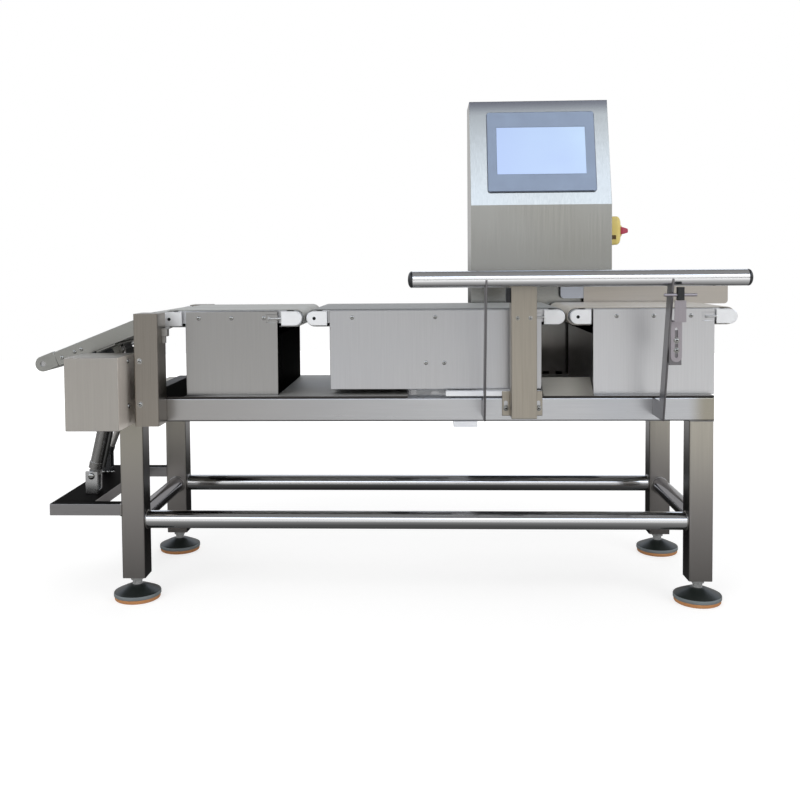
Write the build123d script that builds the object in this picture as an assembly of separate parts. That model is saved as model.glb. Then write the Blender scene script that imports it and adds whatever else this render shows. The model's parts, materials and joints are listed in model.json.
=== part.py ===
from build123d import *

import math
import os

# Checkweigher: three belt conveyors in line on a welded stainless frame, the middle one on a
# load cell, with a hinged drop conveyor for rejects at the outfeed end, a touch-screen cabinet
# behind and a guard rail in front. Millimetres, +X towards the infeed, +Y towards the cabinet,
# +Z up. Everything is built about the middle of the frame at floor level, and moved at the end
# so that the origin lies under the middle of the whole machine.

# Frame of square tube
TUBE = 50.0
TUBE_WALL = 2.5
TUBE_ROUND = 4.0
SIDE_GAP = 25.0
LEG_BOTTOM = 50.0
RAIL_TOP = 438.0
LOW_TUBE_D = 38.0
LOW_TUBE_WALL = 1.5
LOW_TUBE_Z = 172.0
VENT_D = 10.0
CROSS_RAIL_INSET = (174.5, 21.5)
DECK_T = 3.0
DECK_INSET = 25.0

# Levelling feet
PAD_D = 100.0
PAD_T = 10.0
FOOT_RIM_H = 6.0
FOOT_CONE_H = 14.0
FOOT_NECK_D = 34.0
FOOT_HEX_AF = 22.0
FOOT_HEX_H = 5.0
SPINDLE_D = 16.0
SPINDLE_REACH = 24.0
LOCK_NUT_AF = 24.0
LOCK_NUT_H = 10.0
LEG_PLATE_T = 8.0

# Side platform that carries the reject cylinder
PLATFORM_BAR = 25.0
PLATFORM_BAR_WALL = 2.0
PLATFORM_REACH = 155.0
PLATFORM_TOP = 211.0
PLATFORM_PLATE_W = 90.0
PLATFORM_SHEET = 3.0
PLATFORM_BOLTS = (-2.0, 9.0, 20.0)

# Conveyors
AXIS_Z = 604.5
ROLLER_D = 33.0
BELT_HALF = 150.0
BELT_EDGE = 2.0
SHAFT_D = 12.0
SHAFT_INSET = 3.0
BELT_T = 2.0
BELT_GAP = 0.3
FIT = 0.05
SHEET = 2.0
BEND = 2.5
PANEL_BELOW_BELT = 2.8
END_WALL_GAP = 15.7
FLANGE_T = 2.5
FLANGE_DEPTH = 27.0
BOSS_D = 10.0
NOSE_H = 31.0
NOSE_REACH = 28.5
NOSE_T = 12.0
PULLEY_D = 24.0
PULLEY_GAP = 1.5
PULLEY_W = 6.0
TIMING_T = 1.5
MOTOR_OFFSET = 140.0
MOTOR_Z = 545.0
MOTOR_SIDE = 60.0
MOTOR_LENGTH = 106.0
SCREW_HEAD_D = 9.0
SCREW_HEAD_H = 2.5
SCREW_D = 5.0
SCREW_RISE = 1.5
TENSION_BOLT_D = 6.0
TENSION_BOLT_LENGTH = 22.0
TENSION_HEAD_AF = 8.0

# Each conveyor: roller centres apart, roller to panel, screw inset, lift over the deck
CONVEYOR_SIZES = {
    "outfeed": (271.0, 36.5, 29.0, 0.0),
    "weigh": (516.0, 34.0, 48.0, 11.5),
    "infeed": (316.5, 32.3, 49.0, 0.0),
}
TRANSFER = (37.5, 41.0, 41.5)
INFEED_REACH = 39.5

# Load cell under the weigh conveyor
CELL = (130.0, 40.0, 36.0)
CELL_INSET = 215.5
CELL_SEAT = (44.0, 12.0)
CELL_BORE_D = 22.0
CELL_BORE_APART = 44.0
CELL_WEB = 10.0
BASE_BAR_W = 50.0
BASE_BAR_T = 12.0
TOP_PLATE = (162.0, 220.0, 10.0)
TOP_PLATE_INSET = 18.0

# Reject conveyor and its posts
POST = (50.0, 62.0)
POST_ROUND = 3.0
POST_INSET = 79.0
POST_TOP = 620.5
POST_BOLT_RISE = (46.0, 135.5)
HEAD_INSET = 66.0
HEAD_Z = 603.0
SWITCH_BELOW = 15.0
REJECT_LENGTH = 256.0
REJECT_DROP = 21.4
REJECT_ROLLER_D = 28.0
REJECT_SIDE_T = 3.0
REJECT_SIDE_LOW = 17.0
REJECT_NOSE_H = 33.0
REJECT_NOSE_REACH = 31.0
TRUNNION_D = 20.0
BLOCK_GAP = 6.0
BLOCK_W = 38.0
PIN_U = 115.5
PIN_V = 33.0
PIN_D = 8.0
LUG_T = 5.0
LUG_BAR_W = 44.0
LUG_BAR_T = 4.0
REJECT_MOTOR_D = 56.0
REJECT_MOTOR_L = 112.0
REJECT_MOTOR_Y = -30.0
REJECT_MOTOR_U = 160.0
REJECT_STRAP_W = 40.0

# Cylinder and damper: foot pivot beyond the head, above the platform, mid-plane Y, barrel
# diameter, rod diameter, barrel length
CYLINDER_SIZES = (161.0, 40.0, -95.0, 27.0, 10.0, 205.0)
DAMPER_SIZES = (211.0, 33.0, 140.0, 15.0, 6.0, 200.0)
AIR_PIPE_D = 10.0
EYE_D = 22.0
EYE_BORE_PLAY = 2.6
FORK_GAP = 16.0
FORK_T = 8.0

# Valve box
VALVE_BOX = (110.0, 106.0, 149.0)
VALVE_BOX_INSET = 36.0
VALVE_BOX_BELOW = 2.0
VALVE_BACK_T = 3.0
VALVE_BOLT_RISE = (43.0, 136.5)

# Guard rail and its brackets
RAIL_D = 32.0
RAIL_ENDS = (-2.0, 652.0)
RAIL_REACH = 140.0
RAIL_Z = 687.5
CAP_T = 5.0
BRACKET_X = (146.0, 500.0)
BRACKET_T = 4.0
BRACKET_FOOT = (402.0, 437.0)
BRACKET_FOOT_REACH = 86.0
BRACKET_STEM = 36.0

# Sensor post, a hat channel on the front rail
SENSOR_POST_X = 229.0
SENSOR_POST = (52.0, 45.0)
SENSOR_POST_Z = (400.0, 690.0)
SENSOR_SHEET = 3.0
SENSOR_SLOT = (8.0, 22.0)
EYE = (10.0, 20.0, 30.0)
EYE_Z = 653.0
CROSS_ROD = (6.0, 62.0, 655.0)
HOLDER_SLOT = (6.0, 53.0)
HOLDER_REACH = 30.0
HOLDER_Z = 535.0
HOLDER_JOG_Z = 604.5
SENSOR_FLANGE_W = 16.0
SENSOR_FLANGE_TOP = 452.0
SENSOR_BOLT_Z = 606.5

# Guides behind the infeed belt
GUIDE_T = 3.0
GUIDE_TOP = 690.0
GUIDE_TABS = (-196.5, -119.5)
GUIDE_TAB = (40.0, 585.0)
GUIDE_LONG = (-246.5, 104.5, 617.0)
GUIDE_SHORT = (-302.5, -164.5, 632.0)

# Cabinet with the tilted touch screen
CABINET_W = 350.0
CABINET_X = 317.0
CABINET_FOLD = 865.0
CABINET_TILT = 15.0
CABINET_PANEL = 278.0
CABINET_DEPTH = 180.0
CABINET_SHEET = 2.0
DOOR_LIP = 16.0
DOOR_GAP = 0.6
HINGE_OFFSET = 5.0
HINGE_PIN_D = 4.0
HINGE_D = 9.0
HINGE_LENGTH = 60.0
BEZEL = (271.0, 213.0, 7.0)
BEZEL_X = 320.5
BEZEL_RISE = 139.0
SCREEN = (222.7, 125.3)
SCREEN_RECESS = 2.0
HMI_BODY = (255.0, 197.0, 34.0)
ISOLATOR = (38.0, 72.0, 72.0)
ISOLATOR_Z = 801.0
ISOLATOR_Y = 290.0
KNOB_D = 40.0
HANDLE = (12.0, 48.0, 15.0)
HANDLE_GAP = 0.5
HUB_T = 6.0
STEM_D = 10.0
STEM_SINK = 6.0

# Values that follow from those above
roller_half = BELT_HALF + BELT_EDGE
pulley_y = roller_half + PULLEY_GAP
flange_in = pulley_y + PULLEY_W + 1.0
flange_out = flange_in + FLANGE_T
housing_half = flange_out + NOSE_T
shaft_half = housing_half - SHAFT_INSET
half_width = housing_half + SIDE_GAP
frame_length = HEAD_INSET + sum(TRANSFER) + sum(size[0] for size in CONVEYOR_SIZES.values()) - INFEED_REACH
half_length = frame_length / 2
leg_x = half_length - TUBE / 2
leg_y = half_width - TUBE / 2
rail_bottom = RAIL_TOP - TUBE
deck_top = RAIL_TOP + DECK_T
belt_in = ROLLER_D / 2 + BELT_GAP
belt_out = belt_in + BELT_T
housing_top = AXIS_Z + belt_out - PANEL_BELOW_BELT
end_wall_top = AXIS_Z - belt_out - END_WALL_GAP
screw_z = AXIS_Z + SCREW_RISE
tilt = math.radians(CABINET_TILT)
head_x = -half_length + HEAD_INSET
post_x = -half_length + POST_INSET
valve_right = -half_length + VALVE_BOX_INSET
rail_y = -half_width - RAIL_REACH
valve_bottom = rail_bottom - VALVE_BOX_BELOW
block_t = SIDE_GAP - BLOCK_GAP


def chain():
    """Each conveyor's drive and idler roller X, in line from the reject conveyor's head."""
    found, x = {}, head_x
    for gap, (name, (length, lead, inset, lift)) in zip(TRANSFER, CONVEYOR_SIZES.items()):
        drive = x + gap
        x = drive + length
        found[name] = (drive, x, lead, inset, lift)
    return found


CONVEYORS = chain()
weigh_drive, weigh_idler = CONVEYORS["weigh"][:2]
cross_rail_x = (weigh_drive + CROSS_RAIL_INSET[0], weigh_idler - CROSS_RAIL_INSET[1])
CYLINDER = (head_x - CYLINDER_SIZES[0], PLATFORM_TOP + CYLINDER_SIZES[1], *CYLINDER_SIZES[2:])
DAMPER = (head_x - DAMPER_SIZES[0], PLATFORM_TOP + DAMPER_SIZES[1], *DAMPER_SIZES[2:])


def block(x0, x1, y0, y1, z0, z1):
    """A box between two values along each axis."""
    return Pos((x0 + x1) / 2, (y0 + y1) / 2, (z0 + z1) / 2) * Box(x1 - x0, y1 - y0, z1 - z0)


def rod_x(diameter, x0, x1, y, z):
    return Pos((x0 + x1) / 2, y, z) * Rot(0, 90, 0) * Cylinder(diameter / 2, x1 - x0)


def rod_y(diameter, x, y0, y1, z):
    return Pos(x, (y0 + y1) / 2, z) * Rot(90, 0, 0) * Cylinder(diameter / 2, y1 - y0)


def rod_z(diameter, x, y, z0, z1):
    return Pos(x, y, (z0 + z1) / 2) * Cylinder(diameter / 2, z1 - z0)


def group(solids):
    """Separate solids kept together in one node."""
    return Compound([s for shape in solids for s in shape.solids()])


def side_profile(sketch, y0, y1):
    """A sketch drawn in X and Z, made solid from y0 to y1."""
    return Pos(0, y1, 0) * extrude(Plane.XZ * sketch, y1 - y0)


# Frame

def square_tube(plane, side, wall, length):
    """Square tube with rounded corners, along the plane's normal from its origin."""
    section = RectangleRounded(side, side, TUBE_ROUND)
    section -= RectangleRounded(side - 2 * wall, side - 2 * wall, TUBE_ROUND - wall)
    return extrude(plane * section, length)


def leg(x, y):
    """Square tube, with a plate in its foot that takes the levelling spindle."""
    tube = square_tube(Plane((x, y, LEG_BOTTOM)), TUBE, TUBE_WALL, rail_bottom - LEG_BOTTOM)
    inner = TUBE - 2 * TUBE_WALL
    plate = extrude(Plane((x, y, LEG_BOTTOM)) * RectangleRounded(inner, inner, TUBE_ROUND - TUBE_WALL),
                    LEG_PLATE_T)
    return tube + plate - rod_z(SPINDLE_D + 2 * FIT, x, y, LEG_BOTTOM, LEG_BOTTOM + LEG_PLATE_T)


def along_x(x, y, z):
    return Plane((x, y, z), x_dir=(0, 1, 0), z_dir=(1, 0, 0))


def along_y(x, y, z):
    return Plane((x, y, z), x_dir=(1, 0, 0), z_dir=(0, 1, 0))


def long_rail(y):
    """Square tube with closed ends, and a vent hole underneath."""
    z = RAIL_TOP - TUBE / 2
    rail = square_tube(along_x(-half_length, y, z), TUBE, TUBE_WALL, frame_length)
    inner = TUBE - 2 * TUBE_WALL
    for x in (-half_length, half_length - TUBE_WALL):
        rail += extrude(along_x(x, y, z) * RectangleRounded(inner, inner, TUBE_ROUND - TUBE_WALL), TUBE_WALL)
    return rail - rod_z(VENT_D, 0, y, rail_bottom, rail_bottom + TUBE_WALL)


def cross_rail(x):
    """Square tube between the two long rails, open at its welded ends."""
    reach = half_width - TUBE
    return square_tube(along_y(x, -reach, RAIL_TOP - TUBE / 2), TUBE, TUBE_WALL, 2 * reach)


def low_long_tube(y):
    reach = half_length - TUBE
    bore = LOW_TUBE_D - 2 * LOW_TUBE_WALL
    return rod_x(LOW_TUBE_D, -reach, reach, y, LOW_TUBE_Z) - rod_x(bore, -reach, reach, y, LOW_TUBE_Z)


def low_cross_tube(x):
    reach = half_width - TUBE
    bore = LOW_TUBE_D - 2 * LOW_TUBE_WALL
    return rod_y(LOW_TUBE_D, x, -reach, reach, LOW_TUBE_Z) - rod_y(bore, x, -reach, reach, LOW_TUBE_Z)


def deck(x0, x1):
    """Plate over the rails, where a conveyor housing stands."""
    return block(x0, x1, -half_width, half_width, RAIL_TOP, deck_top)


def foot_spindle(x, y):
    """Turned foot with its hollow-flanked cone, hexagon and spindle, and the lock nut under the leg."""
    rim_top = PAD_T + FOOT_RIM_H
    cone_top = rim_top + FOOT_CONE_H
    out, neck, stem = PAD_D / 2, FOOT_NECK_D / 2, SPINDLE_D / 2
    flank = [(out, rim_top), ((out + neck) / 2 - 2, (rim_top + cone_top) / 2 - 1), (neck, cone_top)]
    with BuildLine(Plane.XZ) as outline:
        Polyline((0, cone_top), (0, PAD_T), (out - 1, PAD_T), (out, PAD_T + 1), flank[0])
        ThreePointArc(*flank)
        Line(flank[2], (0, cone_top))
    cone = revolve(make_face(outline.line), Axis.Z)
    hexagon = extrude(RegularPolygon(FOOT_HEX_AF / 2, 6, major_radius=False), FOOT_HEX_H)
    nut = extrude(RegularPolygon(LOCK_NUT_AF / 2, 6, major_radius=False), LOCK_NUT_H)
    turned = cone + Pos(0, 0, cone_top) * hexagon + Pos(0, 0, LEG_BOTTOM - LOCK_NUT_H) * nut
    turned += rod_z(2 * stem, 0, 0, cone_top, LEG_BOTTOM + SPINDLE_REACH)
    return Pos(x, y, 0) * turned


def foot_pad(x, y):
    """Soft disc that the foot is pressed into, narrowed towards the floor."""
    pad = rod_z(PAD_D - 2, x, y, 0, PAD_T)
    return chamfer(pad.edges().group_by(Axis.Z)[0], 2.0)


# Platform at the reject end

platform_x0 = -half_length - PLATFORM_REACH
platform_z0 = PLATFORM_TOP - PLATFORM_BAR


def platform_rail(side):
    """Square bar from the leg outwards, closed at its free end."""
    y0, y1 = sorted((side * half_width, side * (half_width - PLATFORM_BAR)))
    wall = PLATFORM_BAR_WALL
    outside = block(platform_x0, -half_length, y0, y1, platform_z0, PLATFORM_TOP)
    return outside - block(platform_x0 + wall, -half_length, y0 + wall, y1 - wall,
                           platform_z0 + wall, PLATFORM_TOP - wall)


def platform_plate():
    """Folded channel between the platform rails, open underneath."""
    reach = half_width - PLATFORM_BAR
    x1 = platform_x0 + PLATFORM_PLATE_W
    outside = block(platform_x0, x1, -reach, reach, platform_z0, PLATFORM_TOP)
    return outside - block(platform_x0 + PLATFORM_SHEET, x1 - PLATFORM_SHEET, -reach, reach,
                           platform_z0, PLATFORM_TOP - PLATFORM_SHEET)


# Conveyors

def roller(x, pulley):
    """Crownless roller turned with its shaft; a drive roller has a pulley at its rear end."""
    turned = rod_y(ROLLER_D, x, -roller_half, roller_half, AXIS_Z)
    turned += rod_y(SHAFT_D, x, -shaft_half, shaft_half, AXIS_Z)
    if pulley:
        turned += rod_y(PULLEY_D, x, pulley_y, pulley_y + PULLEY_W, AXIS_Z)
    return turned


def loop(x0, z0, x1, z1, inner_r, thickness, y0, y1):
    """A flat belt round two equal rollers."""
    span = math.hypot(x1 - x0, z1 - z0)
    ring = SlotCenterToCenter(span, 2 * (inner_r + thickness)) - SlotCenterToCenter(span, 2 * inner_r)
    slope = math.degrees(math.atan2(z1 - z0, x1 - x0))
    return side_profile(Pos((x0 + x1) / 2, (z0 + z1) / 2) * Rot(0, 0, slope) * ring, y0, y1)


def screw_places(x0, x1, inset):
    """Three screws along a panel's top edge."""
    return (x0 + inset, (x0 + x1) / 2, x1 - inset)


def housing_span(spec):
    drive, idler, lead, inset, lift = spec
    return drive + lead, idler - lead


def tension_notch(x1):
    """Notch in the panels' corner that shows the tension bolt."""
    depth = TENSION_BOLT_LENGTH + 2
    return block(x1 - depth, x1, -housing_half, housing_half,
                 AXIS_Z - TENSION_BOLT_D - 2, AXIS_Z + TENSION_BOLT_D + 2)


def housing(spec):
    """Folded sheet box: full-height side panels, low end walls, open where the belt runs."""
    x0, x1 = housing_span(spec)
    bottom = deck_top + spec[4]
    shell = block(x0, x1, -housing_half, housing_half, bottom, housing_top)
    inner = housing_half - SHEET
    shell -= block(x0 + SHEET, x1 - SHEET, -inner, inner, bottom + SHEET, housing_top)
    shell -= block(x0, x1, -inner, inner, end_wall_top, housing_top)
    shell -= tension_notch(x1)
    for x in screw_places(x0, x1, spec[3]):
        shell -= rod_y(SCREW_D + 2 * FIT, x, -housing_half, housing_half, screw_z)
    return shell


def slider_bed(spec):
    """Inverted channel under the belt, with hexagonal bosses that meet the housing's panels."""
    drive, idler, lead, inset, lift = spec
    x0, x1 = drive + ROLLER_D / 2 + 1.5, idler - ROLLER_D / 2 - 1.5
    top = AXIS_Z + belt_in
    bed = block(x0, x1, -flange_out, flange_out, top - FLANGE_DEPTH, top)
    bed -= block(x0, x1, -flange_in, flange_in, top - FLANGE_DEPTH, top - SHEET)
    h0, h1 = housing_span(spec)
    reach = housing_half - SHEET
    lug_x = h1 - TENSION_BOLT_LENGTH / 2 - 1
    for side in (-1, 1):
        y0, y1 = sorted((side * flange_out, side * reach))
        for x in screw_places(h0, h1, inset):
            boss = Pos(x, screw_z) * RegularPolygon(BOSS_D / 2, 6, major_radius=False)
            bed += side_profile(boss, y0, y1)
        lug = block(lug_x, lug_x + 6, y0, y1, AXIS_Z - 8, AXIS_Z + 8)
        bed += lug - rod_x(TENSION_BOLT_D + 2 * FIT, lug_x, lug_x + 6, side * tension_y, AXIS_Z)
    return bed


tension_y = (flange_out + housing_half - SHEET) / 2


def nose_bracket(x, end, side):
    """Rounded aluminium end bracket with the shaft's bore; end is +1 at the infeed end."""
    outline = Pos(x, AXIS_Z) * Circle(NOSE_H / 2)
    outline += Pos(x - end * NOSE_REACH / 2, AXIS_Z) * Rectangle(NOSE_REACH, NOSE_H)
    outline -= Pos(x, AXIS_Z) * Circle(SHAFT_D / 2 + FIT)
    y0, y1 = sorted((side * flange_out, side * housing_half))
    return side_profile(outline, y0, y1)


def tension_bolt(spec, side):
    """Hex bolt that pushes the idler's bracket outwards."""
    x1 = spec[1] - NOSE_REACH
    x0 = housing_span(spec)[1] - TENSION_BOLT_LENGTH
    head = extrude(Plane.YZ * RegularPolygon(TENSION_HEAD_AF / 2, 6, major_radius=False), 4)
    return rod_x(TENSION_BOLT_D, x0, x1, side * tension_y, AXIS_Z) + Pos(x0, side * tension_y, AXIS_Z) * head


def panel_screws(spec):
    """Pan-head screws through a housing's panels, down to the bed's bosses."""
    x0, x1 = housing_span(spec)
    found = []
    for x in screw_places(x0, x1, spec[3]):
        for side in (-1, 1):
            y0, y1 = sorted((side * housing_half, side * (housing_half + SCREW_HEAD_H)))
            s0, s1 = sorted((side * housing_half, side * (housing_half - SHEET)))
            found.append(rod_y(SCREW_HEAD_D, x, y0, y1, screw_z) + rod_y(SCREW_D, x, s0, s1, screw_z))
    return found


def drive_motor(spec):
    """Square gearmotor on a bracket that stands on the housing's floor, with its pulley."""
    x = spec[0] + MOTOR_OFFSET
    floor = deck_top + spec[4] + SHEET
    half = MOTOR_SIDE / 2
    face = roller_half
    motor = block(x - half, x + half, face - 6 - MOTOR_LENGTH, face - 6, MOTOR_Z - half, MOTOR_Z + half)
    motor += block(x - half, x + half, face - 6, face - 2, floor, MOTOR_Z + half)
    motor += block(x - half, x + half, face - 50, face - 2, floor, floor + 4)
    motor += rod_y(SHAFT_D, x, face - 2, pulley_y, MOTOR_Z)
    return motor + rod_y(PULLEY_D, x, pulley_y, pulley_y + PULLEY_W, MOTOR_Z)


def timing_belt(spec):
    inner = PULLEY_D / 2 + BELT_GAP
    return loop(spec[0], AXIS_Z, spec[0] + MOTOR_OFFSET, MOTOR_Z, inner, TIMING_T,
                pulley_y, pulley_y + PULLEY_W)


# Load cell

cell_x0 = weigh_drive + CELL_INSET
cell_x1 = cell_x0 + CELL[0]
cell_bottom = rail_bottom + CELL_SEAT[1]
cell_top = cell_bottom + CELL[2]
weigh_bottom = deck_top + CONVEYORS["weigh"][4]


def load_cell():
    """Single-point cell: a block with its two round holes joined into the bending window."""
    half, z, mid = CELL[1] / 2, (cell_bottom + cell_top) / 2, (cell_x0 + cell_x1) / 2
    cell = block(cell_x0, cell_x1, -half, half, cell_bottom, cell_top)
    reach = CELL_BORE_APART / 2
    for x in (mid - reach, mid + reach):
        cell -= rod_y(CELL_BORE_D, x, -half, half, z)
    return cell - block(mid - reach, mid + reach, -half, half, z - CELL_WEB / 2, z + CELL_WEB / 2)


def load_cell_mounts():
    """Base bar under the rails with the cell's seat, and the plate that its free end carries."""
    half, seat_l = CELL[1] / 2, CELL_SEAT[0]
    base = block(cell_x1 - BASE_BAR_W, cell_x1, -half_width, half_width, rail_bottom - BASE_BAR_T, rail_bottom)
    base += block(cell_x1 - seat_l, cell_x1, -half, half, rail_bottom, cell_bottom)
    length, width, thickness = TOP_PLATE
    x0 = cell_x0 - TOP_PLATE_INSET
    top = block(x0, x0 + length, -width / 2, width / 2, weigh_bottom - thickness, weigh_bottom)
    top += block(cell_x0, cell_x0 + seat_l, -half, half, cell_top, weigh_bottom - thickness)
    return base, top


# Reject conveyor, built level with its head roller at the origin, then dropped

reject_out = REJECT_ROLLER_D / 2 + BELT_GAP + BELT_T
reject_place = Pos(head_x, 0, HEAD_Z) * Rot(0, -REJECT_DROP, 0)


def reject_roller(u):
    turned = rod_y(REJECT_ROLLER_D, -u, -roller_half, roller_half, 0)
    reach = shaft_half if u else housing_half + block_t
    return turned + rod_y(SHAFT_D, -u, -reach, reach, 0)


def reject_frame():
    """Folded tray: slider bed and side plates in one, hollow trunnions, lugs and their pins."""
    bed_top = REJECT_ROLLER_D / 2 + BELT_GAP
    inner = housing_half - REJECT_SIDE_T
    x0, x1 = -REJECT_LENGTH + REJECT_NOSE_REACH, -REJECT_ROLLER_D / 2 - 2
    tray = block(x0, x1, -housing_half, housing_half, -REJECT_SIDE_LOW, bed_top)
    tray -= block(x0, x1, -inner, inner, -REJECT_SIDE_LOW, bed_top - SHEET)
    for side in (-1, 1):
        y0, y1 = sorted((side * inner, side * housing_half))
        cheek = Circle(REJECT_SIDE_LOW) + Pos(x1 / 2, 0) * Rectangle(-x1, 2 * REJECT_SIDE_LOW)
        cheek -= Pos(x1 / 2, REJECT_SIDE_LOW) * Rectangle(-3 * x1, 2 * (REJECT_SIDE_LOW - bed_top))
        tray += side_profile(cheek, y0, y1)
        t0, t1 = sorted((side * housing_half, side * (housing_half + block_t + 4)))
        tray += rod_y(TRUNNION_D, 0, t0, t1, 0)
    for side in (-1, 1):
        t0, t1 = sorted((side * inner, side * (housing_half + block_t + 4)))
        tray -= rod_y(SHAFT_D + 2 * FIT, 0, t0, t1, 0)
    return tray


def reject_lugs():
    """Cross bar under the tray with a pair of lugs and a pin for the cylinder and for the damper."""
    bar_top = -REJECT_SIDE_LOW
    inner = housing_half
    half = LUG_BAR_W / 2
    bar_low = bar_top - LUG_BAR_T
    bar = block(-PIN_U - half, -PIN_U + half, -inner, inner, bar_low, bar_top)
    for y in (CYLINDER[2], DAMPER[2]):
        window = EYE_D / 2 + EYE_BORE_PLAY
        bar -= block(-PIN_U - window, -PIN_U + window, y - FORK_GAP / 2, y + FORK_GAP / 2, bar_low, bar_top)
        for side in (-1, 1):
            y0, y1 = sorted((y + side * FORK_GAP / 2, y + side * (FORK_GAP / 2 + LUG_T)))
            outline = Pos(-PIN_U, -PIN_V) * Circle(9)
            outline += Pos(-PIN_U, (bar_low - PIN_V) / 2) * Rectangle(18, PIN_V + bar_low)
            bar += side_profile(outline, y0, y1)
        bar += rod_y(PIN_D, -PIN_U, y - FORK_GAP / 2 - LUG_T - 3, y + FORK_GAP / 2 + LUG_T + 3, -PIN_V)
    return bar


def reject_nose(side):
    """Rounded end block with a tongue that slides behind the side plate."""
    outline = Pos(-REJECT_LENGTH, 0) * Circle(REJECT_NOSE_H / 2)
    outline += Pos(-REJECT_LENGTH + REJECT_NOSE_REACH / 2, 0) * Rectangle(REJECT_NOSE_REACH, REJECT_NOSE_H)
    y0, y1 = sorted((side * flange_out, side * housing_half))
    nose = side_profile(outline, y0, y1)
    inner = side * (housing_half - REJECT_SIDE_T)
    t0, t1 = sorted((side * flange_out, inner))
    tongue_x = -REJECT_LENGTH + REJECT_NOSE_REACH
    nose += block(tongue_x, tongue_x + 25, t0, t1, -REJECT_SIDE_LOW, REJECT_SIDE_LOW - 6)
    return nose - rod_y(SHAFT_D + 2 * FIT, -REJECT_LENGTH, y0, y1, 0)


def reject_motor():
    """Round gearmotor slung under the tray by a folded strap."""
    seat = -REJECT_SIDE_LOW - LUG_BAR_T
    z = seat - REJECT_MOTOR_D / 2
    half = REJECT_STRAP_W / 2
    y0, y1 = REJECT_MOTOR_Y, REJECT_MOTOR_Y + REJECT_MOTOR_L
    motor = rod_y(REJECT_MOTOR_D, -REJECT_MOTOR_U, y0, y1, z)
    motor += rod_y(REJECT_MOTOR_D - 16, -REJECT_MOTOR_U, y1, y1 + 18, z)
    strap = block(-REJECT_MOTOR_U - half, -REJECT_MOTOR_U + half, -housing_half, housing_half,
                  seat, -REJECT_SIDE_LOW)
    saddle = block(-REJECT_MOTOR_U - half, -REJECT_MOTOR_U + half, y0 + 10, y1 - 10, seat - 10, seat)
    return motor + strap + saddle


# Posts that carry the reject conveyor's pivot

def reject_post(side):
    """Box post on the long rail's outer face, closed at the top, with small corner radii."""
    place = Plane((post_x, side * (half_width + POST[1] / 2), rail_bottom))
    width, depth = POST
    inner = RectangleRounded(width - 2 * TUBE_WALL, depth - 2 * TUBE_WALL, POST_ROUND - TUBE_WALL + 0.1)
    post = extrude(place * RectangleRounded(width, depth, POST_ROUND), POST_TOP - rail_bottom)
    return post - extrude(place * inner, POST_TOP - rail_bottom - TUBE_WALL)


def pivot_block(side):
    """Plain bearing block on the post's inner face."""
    y0, y1 = sorted((side * half_width, side * (half_width - block_t)))
    x, z = head_x, HEAD_Z
    body = block(x - BLOCK_W / 2, x + BLOCK_W / 2, y0, y1, z - BLOCK_W / 2, z + BLOCK_W / 2 - 4)
    return body - rod_y(TRUNNION_D + 2 * FIT, x, y0, y1, z)


# Cylinder and damper

def pin_place():
    """The reject conveyor's lug pin at rest, in X and Z."""
    drop = math.radians(REJECT_DROP)
    x = -PIN_U * math.cos(drop) + PIN_V * math.sin(drop)
    z = -PIN_U * math.sin(drop) - PIN_V * math.cos(drop)
    return head_x + x, HEAD_Z + z


def strut(spec, pipe):
    """Barrel with its air pipe if it has one, and rod, built upright and leant to the lug pin."""
    px, pz, y, barrel_d, rod_d, barrel_l = spec
    tx, tz = pin_place()
    reach = math.hypot(tx - px, tz - pz)
    lean = math.degrees(math.atan2(tx - px, tz - pz))
    place = Pos(px, y, pz) * Rot(0, lean, 0)
    eye = min(EYE_D, barrel_d)
    start = 16.0
    barrel = Cylinder(barrel_d / 2, barrel_l, align=(Align.CENTER, Align.CENTER, Align.MIN))
    barrel = Pos(0, 0, start) * barrel
    barrel += Pos(0, 0, start) * Cylinder(barrel_d / 2 + 1.5, 14, align=(Align.CENTER, Align.CENTER, Align.MIN))
    barrel += Pos(0, 0, start + barrel_l - 12) * Cylinder(
        barrel_d / 2 + 1.5, 12, align=(Align.CENTER, Align.CENTER, Align.MIN))
    barrel -= Pos(0, 0, start + 20) * Cylinder(
        rod_d / 2 + FIT, barrel_l, align=(Align.CENTER, Align.CENTER, Align.MIN))
    tail = rod_y(eye, 0, -6, 6, 0) + block(-eye / 2 + 2, eye / 2 - 2, -6, 6, 0, start)
    barrel += tail
    if pipe:
        offset = barrel_d / 2 + AIR_PIPE_D / 2 - 1
        barrel += rod_z(AIR_PIPE_D, offset, 0, start + 6, start + barrel_l - 6)
    barrel -= rod_y(PIN_D + 2 * FIT, 0, -6, 6, 0)
    bore = PIN_D / 2 + EYE_BORE_PLAY
    rod = rod_z(rod_d, 0, 0, start + 60, reach - bore - 2)
    rod_end = rod_y(EYE_D, 0, -6, 6, reach)
    rod_end -= rod_y(2 * bore, 0, -6, 6, reach)
    return place * barrel, place * (rod + rod_end)


def clevis(spec):
    """Fork bracket with its pin, standing on the platform."""
    px, pz, y, barrel_d = spec[:4]
    half = FORK_GAP / 2 + FORK_T
    reach = min(barrel_d, EYE_D) / 2 + 3
    bracket = block(px - reach, px + reach, y - half, y + half, PLATFORM_TOP, pz + 10)
    bracket -= block(px - reach, px + reach, y - FORK_GAP / 2, y + FORK_GAP / 2, PLATFORM_TOP + 8, pz + 10)
    return bracket + rod_y(PIN_D, px, y - half - 3, y + half + 3, pz)


# Valve box

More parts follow.
